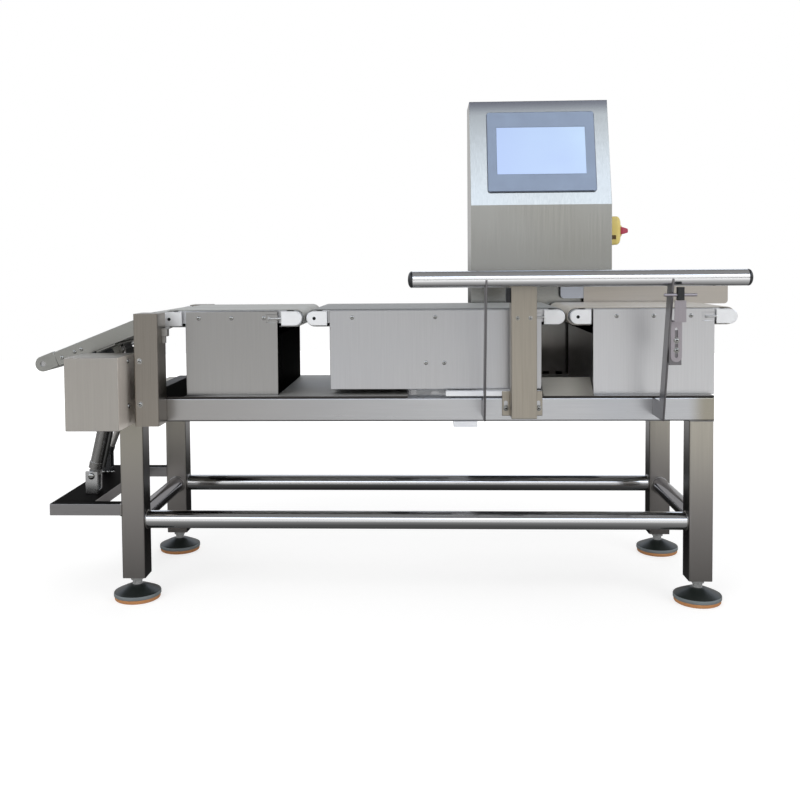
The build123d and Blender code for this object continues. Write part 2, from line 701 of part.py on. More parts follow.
def valve_box():
    """Cover open at the back, the plate behind it, and the valve block on the plate."""
    width, depth, height = VALVE_BOX
    x1, z0 = valve_right, valve_bottom
    x0, z1 = x1 - width, z0 + height
    y1 = -half_width - VALVE_BACK_T
    y0 = y1 - depth
    cover = block(x0, x1, y0, y1, z0, z1)
    cover -= block(x0 + SHEET, x1 - SHEET, y0 + SHEET, y1, z0 + SHEET, z1 - SHEET)
    back = block(x0, x1, y1, -half_width, z0, z1)
    valve = block(x0 + 20, x1 - 25, y1 - 38, y1, z0 + 45, z1 - 30)
    valve += rod_z(14, (x0 + x1) / 2, y1 - 20, z1 - 30, z1 - 18)
    return cover, back, valve


# Guard rail

def guard_tube():
    x0, x1 = RAIL_ENDS
    return rod_x(RAIL_D, x0, x1, rail_y, RAIL_Z) - rod_x(RAIL_D - 3, x0, x1, rail_y, RAIL_Z)


def guard_cap(end):
    """Domed plastic plug in the rail's end."""
    x = RAIL_ENDS[end]
    way = 1 if end else -1
    a, b = sorted((x, x + way * CAP_T))
    c, d = sorted((x, x - way * 12))
    flange = rod_x(RAIL_D, a, b, rail_y, RAIL_Z)
    rim = flange.faces().sort_by(Axis.X)[-1 if end else 0].edges()
    return fillet(rim, CAP_T - 1) + rod_x(RAIL_D - 3 - 2 * FIT, c, d, rail_y, RAIL_Z)


def guard_bracket(x, ear):
    """Flat plate cranked out from the rail's face to the guard tube, notched to its round."""
    foot_z0, foot_z1 = BRACKET_FOOT
    front = -half_width - BRACKET_FOOT_REACH
    top = RAIL_Z - 2
    lean = (rail_y - BRACKET_STEM / 2 - front) / (top - foot_z0)
    corner = front + lean * (foot_z1 - foot_z0) + BRACKET_STEM
    outline = Polygon([
        (-half_width, foot_z0), (-half_width, foot_z1), (corner, foot_z1),
        (rail_y + BRACKET_STEM / 2, top), (rail_y - BRACKET_STEM / 2, top), (front, foot_z0),
    ], align=None)
    outline -= Pos(rail_y, RAIL_Z) * Circle(RAIL_D / 2)
    plate = Pos(x - BRACKET_T / 2, 0, 0) * extrude(Plane.YZ * outline, BRACKET_T)
    if ear:
        face = front + lean * (ear_z - foot_z0)
        plate += block(x, x + 24, face, face + BRACKET_T, ear_z - 42, ear_z + 26)
    return plate


ear_z = 560.0
ear_face = -half_width - BRACKET_FOOT_REACH + (
    (rail_y - BRACKET_STEM / 2 + half_width + BRACKET_FOOT_REACH) / (RAIL_Z - 2 - BRACKET_FOOT[0])
    * (ear_z - BRACKET_FOOT[0]))
holder_x = (BRACKET_X[1] + BRACKET_T / 2 + 0.5, BRACKET_X[1] + 24)
holder_mid = sum(holder_x) / 2
rod_y_place = ear_face - HOLDER_REACH


def sensor_holder():
    """Slotted plate bolted to the bracket's ear, its joggled top, and a clamped cross rod."""
    x0, x1 = holder_x
    y0, y1 = ear_face - GUIDE_T, ear_face
    half, (slot_w, slot_l) = GUIDE_T / 2, HOLDER_SLOT
    plate = block(x0, x1, y0, y1, HOLDER_Z, HOLDER_JOG_Z + half) + rod_y(x1 - x0, holder_mid, y0, y1, HOLDER_Z)
    slot = Pos(holder_mid, HOLDER_Z + slot_l / 2) * SlotCenterToCenter(slot_l, slot_w, rotation=90)
    plate -= side_profile(slot, y0, y1)
    front = rod_y_place - half
    plate += block(x0, x1, front, y1, HOLDER_JOG_Z - half, HOLDER_JOG_Z + half)
    plate += block(x0, x1, front, front + GUIDE_T, HOLDER_JOG_Z - half, HOLDER_JOG_Z + 40)
    rod_d, rod_l, rod_z0 = CROSS_ROD
    return plate, rod_x(rod_d, holder_mid - rod_l / 2, holder_mid + rod_l / 2, rod_y_place, rod_z0)


def sensors():
    """Through-beam eye on the sensor post, the clamp head on the holder, the reject end switch."""
    x0 = SENSOR_POST_X - SENSOR_POST[0] / 2
    y0 = -half_width - SENSOR_POST[1]
    width, depth, height = EYE
    eye = block(x0 - width, x0, y0 + 4, y0 + 4 + depth, EYE_Z - height / 2, EYE_Z + height / 2)
    eye += rod_y(6, x0 - width / 2, y0 + 1, y0 + 4, EYE_Z + height / 4)
    y, z = rod_y_place, CROSS_ROD[2]
    head = block(holder_mid - 6, holder_mid + 6, y - 7, y + 7, HOLDER_JOG_Z + 40.5, z + 15)
    head -= rod_x(CROSS_ROD[0] + 2 * FIT, holder_mid - 6, holder_mid + 6, y, z)
    switch_x = post_x + POST[0] / 2
    z = HEAD_Z - SWITCH_BELOW
    switch = block(switch_x, switch_x + 12, -half_width - 34, -half_width - 16, z - 16, z)
    switch += block(switch_x, switch_x + 7, -half_width - 30, -half_width - 20, z - 30, z - 16)
    return eye, head, switch


def sensor_post():
    """Hat channel: front and sides folded, base flanges with slots for the rail's bolts."""
    w, d = SENSOR_POST
    z0, z1 = SENSOR_POST_Z
    x0, x1 = SENSOR_POST_X - w / 2, SENSOR_POST_X + w / 2
    (slot_w, slot_l), slot_z = SENSOR_SLOT, RAIL_TOP - TUBE / 2 + 8
    y0, t = -half_width - d, SENSOR_SHEET
    post = block(x0, x1, y0, -half_width, z0, z1)
    post -= block(x0 + t, x1 - t, y0 + t, -half_width, z0, z1 - t)
    for side, x in ((-1, x0), (1, x1)):
        a, b = sorted((x, x + side * SENSOR_FLANGE_W))
        flange = block(a, b, -half_width - t, -half_width, z0, SENSOR_FLANGE_TOP)
        mid = (a + b) / 2
        slot = Pos(mid, slot_z) * SlotOverall(slot_l, slot_w, rotation=90)
        post += flange - side_profile(slot, -half_width - t, -half_width)
    return post


def frame_bolts():
    """Dome-head bolts: posts, sensor post, slotted plate, valve box and platform plate."""
    found = []
    for rise in POST_BOLT_RISE:
        for side in (-1, 1):
            y0, y1 = sorted((side * (half_width + POST[1]), side * (half_width + POST[1] + 3)))
            found.append(rod_y(9, post_x - 13, y0, y1, rail_bottom + rise))
    post_front = -half_width - SENSOR_POST[1]
    for x in (-13, 13):
        found.append(rod_y(7, SENSOR_POST_X + x, post_front - 2.5, post_front, SENSOR_BOLT_Z))
        flange_x = SENSOR_POST_X + math.copysign(SENSOR_POST[0] / 2 + SENSOR_FLANGE_W / 2, x)
        found.append(rod_y(11, flange_x, -half_width - SENSOR_SHEET - 5, -half_width - SENSOR_SHEET,
                           RAIL_TOP - TUBE / 2 + 3))
    for rise in (12, 31):
        found.append(rod_y(10, holder_mid, ear_face - GUIDE_T - 4, ear_face - GUIDE_T, HOLDER_Z + rise))
    for rise in VALVE_BOLT_RISE:
        found.append(rod_x(9, valve_right, valve_right + 3, -half_width - 47, valve_bottom + rise))
    fork_front = DAMPER[2] - FORK_GAP / 2 - FORK_T
    for dx in PLATFORM_BOLTS:
        found.append(rod_z(8, DAMPER[0] + dx, fork_front - 8, PLATFORM_TOP, PLATFORM_TOP + 4))
    return found


def guide_plates():
    """Two rounded plates, one bolted behind the other, on tabs down the infeed housing."""
    y, end = housing_half, CONVEYORS["infeed"][1]
    plates = []
    for (x0, x1, z0), y0 in ((GUIDE_LONG, y), (GUIDE_SHORT, y + GUIDE_T)):
        outline = Pos(end + (x0 + x1) / 2, (z0 + GUIDE_TOP) / 2) * RectangleRounded(x1 - x0, GUIDE_TOP - z0, 9)
        plates.append(side_profile(outline, y0, y0 + GUIDE_T))
    for x in GUIDE_TABS:
        half = GUIDE_TAB[0] / 2
        plates[0] += block(end + x - half, end + x + half, y, y + GUIDE_T, GUIDE_TAB[1], GUIDE_LONG[2] + 20)
    return plates


# Cabinet

cabinet_z0 = rail_bottom
cabinet_back = half_width + CABINET_DEPTH
cabinet_top = CABINET_FOLD + CABINET_PANEL * math.cos(tilt)
cabinet_x = (CABINET_X - CABINET_W / 2, CABINET_X + CABINET_W / 2)


def cabinet_outline(inset):
    """Side view of the cabinet: upright front, tilted upper front, flat top, square back."""
    run = CABINET_PANEL * math.sin(tilt)
    slide = inset * math.tan(tilt / 2)
    return Polygon([
        (half_width + inset, cabinet_z0 + inset),
        (cabinet_back, cabinet_z0 + inset),
        (cabinet_back, cabinet_top - inset),
        (half_width + run + inset / math.cos(tilt) - inset * math.tan(tilt), cabinet_top - inset),
        (half_width + inset, CABINET_FOLD + slide),
    ], align=None)


panel_plane = Plane(
    origin=(BEZEL_X, half_width, CABINET_FOLD), x_dir=(1, 0, 0), z_dir=(0, -math.cos(tilt), math.sin(tilt)))


def cabinet_shell():
    """Folded shell with the screen's cut-out, vent slots and hinge knuckles, open at the back."""
    x0, x1 = cabinet_x
    shell = Pos(x0, 0, 0) * extrude(Plane.YZ * cabinet_outline(0), CABINET_W)
    shell -= Pos(x0 + CABINET_SHEET, 0, 0) * extrude(
        Plane.YZ * cabinet_outline(CABINET_SHEET), CABINET_W - 2 * CABINET_SHEET)
    window = Pos(0, BEZEL_RISE, 0) * Box(HMI_BODY[0] + 2, HMI_BODY[1] + 2, 4 * CABINET_SHEET)
    shell -= panel_plane.location * window
    for x in (CABINET_X + 11, CABINET_X + 43):
        shell -= block(x - 8, x + 8, half_width, half_width + CABINET_SHEET, deck_top + 1, deck_top + 7)
    for z in hinge_places():
        shell += rod_z(HINGE_D, hinge_x, cabinet_back, z - HINGE_LENGTH / 2, z)
        shell += block(x1, hinge_x, cabinet_back - HINGE_D / 2, cabinet_back - 1.5, z - HINGE_LENGTH / 2, z)
        shell += rod_z(HINGE_PIN_D, hinge_x, cabinet_back, z, z + HINGE_LENGTH / 2)
    return shell


hinge_x = cabinet_x[1] + HINGE_OFFSET


def hinge_places():
    return cabinet_z0 + 90, cabinet_top - 90


def cabinet_door():
    """Tray-shaped rear door with its hinge knuckles and a quarter-turn lock."""
    x0, x1 = cabinet_x
    y0, y1 = cabinet_back + DOOR_GAP, cabinet_back + DOOR_GAP + DOOR_LIP
    door = block(x0, x1, y0, y1, cabinet_z0, cabinet_top)
    inset = CABINET_SHEET
    door -= block(x0 + inset, x1 - inset, y0, y1 - inset, cabinet_z0 + inset, cabinet_top - inset)
    for z in hinge_places():
        low = z + FIT
        door += rod_z(HINGE_D, hinge_x, cabinet_back, low, z + HINGE_LENGTH / 2)
        door += block(x1 - inset, hinge_x, y0 + 1, cabinet_back + HINGE_D / 2, low, z + HINGE_LENGTH / 2)
        door -= rod_z(HINGE_PIN_D + 2 * FIT, hinge_x, cabinet_back, low, z + HINGE_LENGTH / 2)
    lock_z = (cabinet_z0 + cabinet_top) / 2
    return door + rod_y(24, x0 + 28, y1, y1 + 6, lock_z)


def hmi():
    """Touch screen: bezel with a recess, its rear body through the cut-out, and the glass."""
    w, h, t = BEZEL
    frame = extrude(Pos(0, BEZEL_RISE) * RectangleRounded(w, h, 8), t)
    frame = chamfer(frame.faces().sort_by(Axis.Z)[-1].outer_wire().edges(), 1.5)
    window = Pos(0, BEZEL_RISE + 2, t - SCREEN_RECESS / 2) * Box(*SCREEN, SCREEN_RECESS)
    body = Pos(0, BEZEL_RISE, -HMI_BODY[2] / 2) * Box(*HMI_BODY)
    glass = Pos(0, BEZEL_RISE + 2, t - SCREEN_RECESS + 0.5) * Box(*SCREEN, 1.0)
    place = panel_plane.location
    return place * (frame - window + body), place * glass


def isolator():
    """Rotary main switch on the cabinet's side: yellow base, and a red handle on its hub."""
    depth, w, h = ISOLATOR
    x = cabinet_x[1]
    base = block(x, x + depth, ISOLATOR_Y - w / 2, ISOLATOR_Y + w / 2, ISOLATOR_Z - h / 2, ISOLATOR_Z + h / 2)
    base = chamfer(base.faces().sort_by(Axis.X)[-1].edges(), 5)
    face = x + depth
    tip = face + HUB_T + HANDLE[0]
    hub = rod_x(KNOB_D, face + HANDLE_GAP, face + HUB_T, ISOLATOR_Y, ISOLATOR_Z)
    bar = block(face + HUB_T, tip, ISOLATOR_Y - HANDLE[1] / 2, ISOLATOR_Y + HANDLE[1] / 2,
                ISOLATOR_Z - HANDLE[2] / 2, ISOLATOR_Z + HANDLE[2] / 2)
    stem = rod_x(STEM_D, face - STEM_SINK, face + HANDLE_GAP, ISOLATOR_Y, ISOLATOR_Z)
    base -= rod_x(STEM_D + 2 * FIT, face - STEM_SINK, face, ISOLATOR_Y, ISOLATOR_Z)
    return base, hub + bar + stem


# Assembly

def build_parts():
    corners = [(sx * leg_x, sy * leg_y) for sx in (-1, 1) for sy in (-1, 1)]
    end_rails = (-leg_x, *cross_rail_x, leg_x)
    base, spider = load_cell_mounts()
    cover, back, valve = valve_box()
    barrel, rod = strut(CYLINDER, True)
    damper, damper_rod = strut(DAMPER, False)
    holder, cross_rod = sensor_holder()
    bezel, glass = hmi()
    isolator_base, handle = isolator()
    specs = CONVEYORS.values()
    parts = {
        "legs": group(leg(x, y) for x, y in corners),
        "long_rails": group(long_rail(y) for y in (-leg_y, leg_y)),
        "cross_rails": group(cross_rail(x) for x in end_rails),
        "long_tubes": group(low_long_tube(y) for y in (-leg_y, leg_y)),
        "cross_tubes": group(low_cross_tube(x) for x in (-leg_x, leg_x)),
        "deck_plates": group([deck(DECK_INSET - half_length, cross_rail_x[0] + TUBE / 2),
                              deck(cross_rail_x[1] - TUBE / 2, half_length)]),
        "foot_spindles": group(foot_spindle(x, y) for x, y in corners),
        "foot_pads": group(foot_pad(x, y) for x, y in corners),
        "platform_rails": group(platform_rail(side) for side in (-1, 1)),
        "platform_plate": platform_plate(),
        "slider_beds": group(slider_bed(spec) for spec in specs),
        "nose_brackets": group(
            nose_bracket(x, end, side)
            for spec in specs for x, end in ((spec[0], -1), (spec[1], 1)) for side in (-1, 1)),
        "tension_bolts": group(tension_bolt(spec, side) for spec in specs for side in (-1, 1)),
        "panel_screws": group(screw for spec in specs for screw in panel_screws(spec)),
        "drive_motors": group(drive_motor(spec) for spec in specs),
        "timing_belts": group(timing_belt(spec) for spec in specs),
        "load_cell": load_cell(),
        "load_cell_mounts": group([base, spider]),
        "reject_frame": group([reject_place * reject_frame(), reject_place * reject_lugs()]),
        "reject_belt": reject_place * loop(-REJECT_LENGTH, 0, 0, 0, REJECT_ROLLER_D / 2 + BELT_GAP,
                                           BELT_T, -BELT_HALF, BELT_HALF),
        "reject_noses": group(reject_place * reject_nose(side) for side in (-1, 1)),
        "reject_motor": reject_place * reject_motor(),
        "reject_head_roller": reject_place * reject_roller(0),
        "reject_tail_roller": reject_place * reject_roller(REJECT_LENGTH),
        "reject_posts": group(reject_post(side) for side in (-1, 1)),
        "pivot_blocks": group(pivot_block(side) for side in (-1, 1)),
        "clevis_brackets": group([clevis(CYLINDER), clevis(DAMPER)]),
        "cylinder_barrel": barrel,
        "cylinder_rod": rod,
        "damper_body": damper,
        "damper_rod": damper_rod,
        "valve_box_cover": cover,
        "valve_box_back": back,
        "valve_block": valve,
        "guard_tube": guard_tube(),
        "guard_caps": group([guard_cap(0), guard_cap(1)]),
        "guard_brackets": group([guard_bracket(BRACKET_X[0], False), guard_bracket(BRACKET_X[1], True)]),
        "sensor_post": sensor_post(),
        "sensor_holder": group([holder, cross_rod]),
        "sensors": group(sensors()),
        "frame_bolts": group(frame_bolts()),
        "guide_plates": group(guide_plates()),
        "cabinet_shell": cabinet_shell(),
        "cabinet_door": cabinet_door(),
        "hmi_bezel": bezel,
        "hmi_screen": glass,
        "isolator_base": isolator_base,
        "isolator_handle": handle,
    }
    for name, spec in CONVEYORS.items():
        parts[f"housing_{name}"] = housing(spec)
        parts[f"belt_{name}"] = loop(spec[0], AXIS_Z, spec[1], AXIS_Z, belt_in, BELT_T, -BELT_HALF, BELT_HALF)
        parts[f"drive_roller_{name}"] = roller(spec[0], True)
        parts[f"idler_roller_{name}"] = roller(spec[1], False)
    return parts


def write(parts):
    """Move the origin under the middle of the whole machine, and write one file per node."""
    os.makedirs("parts", exist_ok=True)
    box = group(parts.values()).bounding_box()
    shift = Pos(-(box.min.X + box.max.X) / 2, -(box.min.Y + box.max.Y) / 2, 0)
    print("frame centre lies at", shift.position)
    for name, shape in parts.items():
        export_step(shift * shape, f"parts/{name}.step")


write(build_parts())
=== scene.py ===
import json
import math

import bmesh
import bpy
import numpy as np
from mathutils import Matrix, Vector

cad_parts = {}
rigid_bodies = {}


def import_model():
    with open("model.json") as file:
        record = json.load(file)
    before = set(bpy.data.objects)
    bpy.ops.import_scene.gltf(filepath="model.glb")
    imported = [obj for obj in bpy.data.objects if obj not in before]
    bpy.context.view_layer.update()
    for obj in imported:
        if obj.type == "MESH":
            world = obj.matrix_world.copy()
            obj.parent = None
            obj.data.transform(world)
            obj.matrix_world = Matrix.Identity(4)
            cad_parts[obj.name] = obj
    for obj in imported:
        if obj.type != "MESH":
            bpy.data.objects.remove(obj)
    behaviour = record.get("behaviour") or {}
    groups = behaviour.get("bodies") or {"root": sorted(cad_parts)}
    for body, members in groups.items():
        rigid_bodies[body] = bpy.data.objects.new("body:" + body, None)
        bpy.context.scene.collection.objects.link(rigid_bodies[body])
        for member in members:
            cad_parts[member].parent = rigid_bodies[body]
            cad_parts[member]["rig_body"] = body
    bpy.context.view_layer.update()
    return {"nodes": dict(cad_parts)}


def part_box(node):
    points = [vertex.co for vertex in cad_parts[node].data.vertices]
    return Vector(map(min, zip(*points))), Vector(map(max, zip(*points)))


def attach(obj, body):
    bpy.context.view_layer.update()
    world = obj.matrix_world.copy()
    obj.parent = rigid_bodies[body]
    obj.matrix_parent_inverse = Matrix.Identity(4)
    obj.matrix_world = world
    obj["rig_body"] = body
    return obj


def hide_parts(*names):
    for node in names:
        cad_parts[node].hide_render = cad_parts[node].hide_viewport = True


# Dress of a three-belt checkweigher with a drop conveyor for rejects, a guard rail and a
# touch-screen cabinet. Places are written in millimetres from the middle of the frame, as in
# the drawing of the machine, and row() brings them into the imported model's frame.

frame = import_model()
nodes = frame["nodes"]
SHIFT = (22.4251, -19.7365, 0.0)  # the frame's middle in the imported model, in millimetres


def row(points):
    """Millimetres from the frame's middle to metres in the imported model's frame."""
    return (np.asarray(points, float) + SHIFT) / 1000.0


def linear(code):
    """An sRGB hex value as linear colour, opaque."""
    value = np.array([int(code[i:i + 2], 16) for i in (0, 2, 4)]) / 255.0
    return (*np.where(value <= 0.04045, value / 12.92, ((value + 0.055) / 1.055) ** 2.4), 1.0)


def add(tree, kind, inputs=(), **settings):
    """Adds one node, with its settings, and joins or fills its inputs."""
    node = tree.nodes.new("ShaderNode" + kind)
    for key, value in settings.items():
        setattr(node, key, value)
    for key, value in dict(inputs).items():
        if isinstance(value, bpy.types.NodeSocket):
            tree.links.new(value, node.inputs[key])
        else:
            node.inputs[key].default_value = value
    return node


def blank(name):
    """A material with an empty node tree, and its output node."""
    material = bpy.data.materials.new(name)
    material.use_nodes = True
    material.node_tree.nodes.clear()
    return material, material.node_tree, add(material.node_tree, "OutputMaterial")


STREAK_LENGTH = 45  # a brushed streak's length over its width


def brushed_steel(name, shade, dark, streak, along, rough=0.3, contrast=0.35, fades=(),
                  tint="b9bdc6", lean=0.0, metallic=1.0, grazing="ffffff"):
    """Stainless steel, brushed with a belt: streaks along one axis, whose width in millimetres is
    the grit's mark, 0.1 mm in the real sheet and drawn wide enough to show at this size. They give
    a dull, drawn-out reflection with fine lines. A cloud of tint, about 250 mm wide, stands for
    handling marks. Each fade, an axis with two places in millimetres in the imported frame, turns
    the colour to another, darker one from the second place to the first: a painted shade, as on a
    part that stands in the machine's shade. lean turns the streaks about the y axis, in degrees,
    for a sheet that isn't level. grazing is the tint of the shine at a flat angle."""
    material, tree, output = blank(name)
    place = add(tree, "TexCoord").outputs["Object"]
    across, lengthwise = 1000.0 / streak, 1000.0 / (streak * STREAK_LENGTH)
    scale = [lengthwise if axis == along else across for axis in "xyz"]
    leant = add(tree, "Mapping", {"Vector": place, "Rotation": (0.0, math.radians(lean), 0.0)})
    lines = add(tree, "Mapping", {"Vector": leant.outputs[0], "Scale": scale})
    grain = add(tree, "TexNoise", {"Vector": lines.outputs[0], "Scale": 1.0, "Detail": 3.0,
                                   "Roughness": 0.65})
    cloud = add(tree, "TexNoise", {"Vector": place, "Scale": 4.0, "Detail": 2.0})
    part = add(tree, "MapRange", {"Value": grain.outputs[0], "From Min": 0.3, "From Max": 0.7,
                                  "To Max": contrast})
    colour = add(tree, "Mix", {0: part.outputs[0], 6: linear(shade), 7: linear(dark)},
                 data_type="RGBA")
    haze = add(tree, "MapRange", {"Value": cloud.outputs[0], "From Min": 0.35, "From Max": 0.7,
                                  "To Max": 0.35})
    colour = add(tree, "Mix", {0: haze.outputs[0], 6: colour.outputs[2], 7: linear(tint)},
                 data_type="RGBA")
    for axis, low, high, code in fades:
        along_it = add(tree, "SeparateXYZ", {0: place}).outputs["xyz".index(axis)]
        share = add(tree, "MapRange", {"Value": along_it, "From Min": low / 1000,
                                       "From Max": high / 1000}, interpolation_type="SMOOTHSTEP")
        colour = add(tree, "Mix", {0: share.outputs[0], 6: linear(code), 7: colour.outputs[2]},
                     data_type="RGBA")
    dull = add(tree, "MapRange", {"Value": grain.outputs[0], "To Min": rough - 0.03,
                                  "To Max": rough + 0.05})
    bump = add(tree, "Bump", {"Height": grain.outputs[0], "Strength": 0.07, "Distance": 0.0002})
    shader = add(tree, "BsdfPrincipled", {"Base Color": colour.outputs[2], "Metallic": metallic,
                                          "Roughness": dull.outputs[0], "Normal": bump.outputs[0],
                                          "Specular Tint": linear(grazing)})
    tree.links.new(shader.outputs[0], output.inputs[0])
    return material


def machined(name, shade, dark, rough, metallic=1.0, marks=1.2):
    """A turned, milled or cast metal: fine tool marks of about 0.2 mm, drawn wider, in all
    directions, so the reflection is soft and a little uneven."""
    material, tree, output = blank(name)
    place = add(tree, "TexCoord").outputs["Object"]
    tool = add(tree, "TexNoise", {"Vector": place, "Scale": 1000.0 / (marks * 3), "Detail": 4.0})
    wear = add(tree, "TexNoise", {"Vector": place, "Scale": 30.0, "Detail": 2.0})
    colour = add(tree, "Mix", {0: wear.outputs[0], 6: linear(shade), 7: linear(dark)},
                 data_type="RGBA")
    dull = add(tree, "MapRange", {"Value": wear.outputs[0], "To Min": rough - 0.08,
                                  "To Max": rough + 0.12})
    bump = add(tree, "Bump", {"Height": tool.outputs[0], "Strength": 0.15, "Distance": 0.0002})
    shader = add(tree, "BsdfPrincipled", {"Base Color": colour.outputs[2], "Metallic": metallic,
                                          "Roughness": dull.outputs[0], "Normal": bump.outputs[0]})
    tree.links.new(shader.outputs[0], output.inputs[0])
    return material


def moulded(name, shade, dark, rough, grain=0.8, coat=0.0):
    """Moulded plastic or rubber: a spark-eroded texture, half a millimetre in the real one and
    drawn at about 2 mm, which breaks the highlight up, and cloudy spots a shade darker."""
    material, tree, output = blank(name)
    place = add(tree, "TexCoord").outputs["Object"]
    pits = add(tree, "TexNoise", {"Vector": place, "Scale": 1000.0 / (grain * 3), "Detail": 2.0})
    dirt = add(tree, "TexNoise", {"Vector": place, "Scale": 25.0, "Detail": 3.0})
    colour = add(tree, "Mix", {0: dirt.outputs[0], 6: linear(shade), 7: linear(dark)},
                 data_type="RGBA")
    dull = add(tree, "MapRange", {"Value": pits.outputs[0], "To Min": rough - 0.06,
                                  "To Max": rough + 0.1})
    bump = add(tree, "Bump", {"Height": pits.outputs[0], "Strength": 0.2, "Distance": 0.0003})
    shader = add(tree, "BsdfPrincipled", {"Base Color": colour.outputs[2],
                                          "Roughness": dull.outputs[0], "Normal": bump.outputs[0],
                                          "Coat Weight": coat, "Coat Roughness": 0.1})
    tree.links.new(shader.outputs[0], output.inputs[0])
    return material


def conveyor_cloth(name, shade, scuffed):
    """Polyurethane-coated woven polyester belt: a 1.2 mm weave, drawn at 4 mm, under a smooth
    coating. It gives a flat grey with a weak sheen, scuffed in lengthwise runs."""
    material, tree, output = blank(name)
    place = add(tree, "TexCoord").outputs["Object"]
    warp = add(tree, "TexWave", {"Vector": place, "Scale": 80.0}, bands_direction="X")
    weft = add(tree, "TexWave", {"Vector": place, "Scale": 80.0}, bands_direction="Y")
    weave = add(tree, "Math", {0: warp.outputs[1], 1: weft.outputs[1]}, operation="MULTIPLY")
    runs = add(tree, "Mapping", {"Vector": place, "Scale": (3.0, 60.0, 3.0)})
    scuff = add(tree, "TexNoise", {"Vector": runs.outputs[0], "Scale": 1.0, "Detail": 4.0})
    colour = add(tree, "Mix", {0: scuff.outputs[0], 6: linear(shade), 7: linear(scuffed)},
                 data_type="RGBA")
    dull = add(tree, "MapRange", {"Value": scuff.outputs[0], "To Min": 0.3, "To Max": 0.5})
    bump = add(tree, "Bump", {"Height": weave.outputs[0], "Strength": 0.15, "Distance": 0.0002})
    shader = add(tree, "BsdfPrincipled", {"Base Color": colour.outputs[2],
                                          "Roughness": dull.outputs[0], "Normal": bump.outputs[0]})
    tree.links.new(shader.outputs[0], output.inputs[0])
    return material


def lit_display():
    """Liquid-crystal display under glass: an even pale blue backlight, paler towards the right,
    behind a clear, glossy sheet."""
    material, tree, output = blank("display_glass")
    place = add(tree, "TexCoord").outputs["Object"]
    side = add(tree, "SeparateXYZ", {0: place})
    low, high = (v[0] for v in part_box("hmi_screen"))
    share = add(tree, "MapRange", {"Value": side.outputs[0], "From Min": low, "From Max": high})
    patch = add(tree, "TexNoise", {"Vector": place, "Scale": 9.0})
    share = add(tree, "Math", {0: share.outputs[0], 1: patch.outputs[0]}, operation="MULTIPLY")
    glow = add(tree, "Mix", {0: share.outputs[0], 6: linear("b6ccf6"), 7: linear("c9e4fb")},
               data_type="RGBA")
    shader = add(tree, "BsdfPrincipled", {"Base Color": linear("2a3038"), "Roughness": 0.12,
                                          "IOR": 1.5, "Emission Color": glow.outputs[2],
                                          "Emission Strength": 0.93})
    tree.links.new(shader.outputs[0], output.inputs[0])
    return material


SHEET = brushed_steel("brushed_stainless_sheet", "cbcbcc", "b8b8b9", 3.0, "z", 0.3, tint="c4c6cc")
SHEET_SLOPED = brushed_steel("brushed_stainless_tray", "a5a5a0", "8f8f8b", 2.5, "x", 0.3,
                             tint="a3a39f", lean=-21.4)
# The infeed housing's lighter copy of the sheet is painted light, and the outfeed's darker, warmer
# copy below is painted shade
SHEET_BRIGHT = brushed_steel("brushed_stainless_sheet_bright", "dcdcdd", "cacacb", 3.0, "z", 0.3,
                             tint="d3d4d8")
SHEET_WARM = brushed_steel("brushed_stainless_sheet_warm", "afaeac", "9e9c9a", 3.0, "z", 0.3,
                           tint="aaa8a6")
# Painted shade on the cabinet: darker towards its foot and along its top edge
CABINET = brushed_steel("brushed_stainless_cabinet", "acaca7", "9b9b97", 4.0, "z", 0.17,
                        contrast=0.35, tint="b1b3b3",
                        fades=[("z", 480, 640, "6b6763"), ("z", 1135, 1092, "757478")])
# Painted shade on the rails: the wide fade darkens them towards the left end, and the narrow fades
# keep the first and last few centimetres of the rails warm and darker
RAIL = brushed_steel("ground_stainless_rail", "d1d2d4", "bcbdbf", 2.5, "x", 0.28, fades=[
    ("x", -600, 300, "a9a7a5"), ("x", -553.5, -551, "aaa59b"), ("x", 632, 590, "aba699")])
# The platform bars: a darker copy of the rail steel, a painted shade
BAR = brushed_steel("ground_stainless_bar", "9e9c9c", "8b8989", 2.5, "x", 0.28, tint="959497")
# Painted shade on the legs: darker towards the left end and towards the floor
LEG = brushed_steel("ground_stainless_leg", "bfbaae", "a8a398", 3.0, "z", 0.3, tint="b6b3ad",
                    fades=[("x", -620, 300, "a09c92"), ("z", 150, 400, "9d9996")])
# The legs' inner side faces: a darker copy of the leg steel, a painted shade
LEG_SIDE = brushed_steel("ground_stainless_leg_side", "565352", "4a4746", 3.0, "z", 0.3,
                         tint="504d4c")
# The short guide plate's cool tone is a painted reflection
GUIDE_COOL = brushed_steel("cool_stainless_guide", "c9cdd6", "b7bbc4", 3.0, "x", 0.28,
                           tint="bfc3cc")
# The valve box cover's side: a lighter copy of its steel, painted light
VALVE_SIDE = brushed_steel("brushed_stainless_valve_side", "e0d8cf", "cec6bd", 3.0, "z", 0.35,
                           tint="d6cec5", metallic=0.3)
# The platform plate's lip: a lighter copy, painted light
LIP = brushed_steel("ground_stainless_lip", "b9b5b4", "a5a1a0", 2.5, "y", 0.4, tint="afabaa",
                    metallic=0.3)
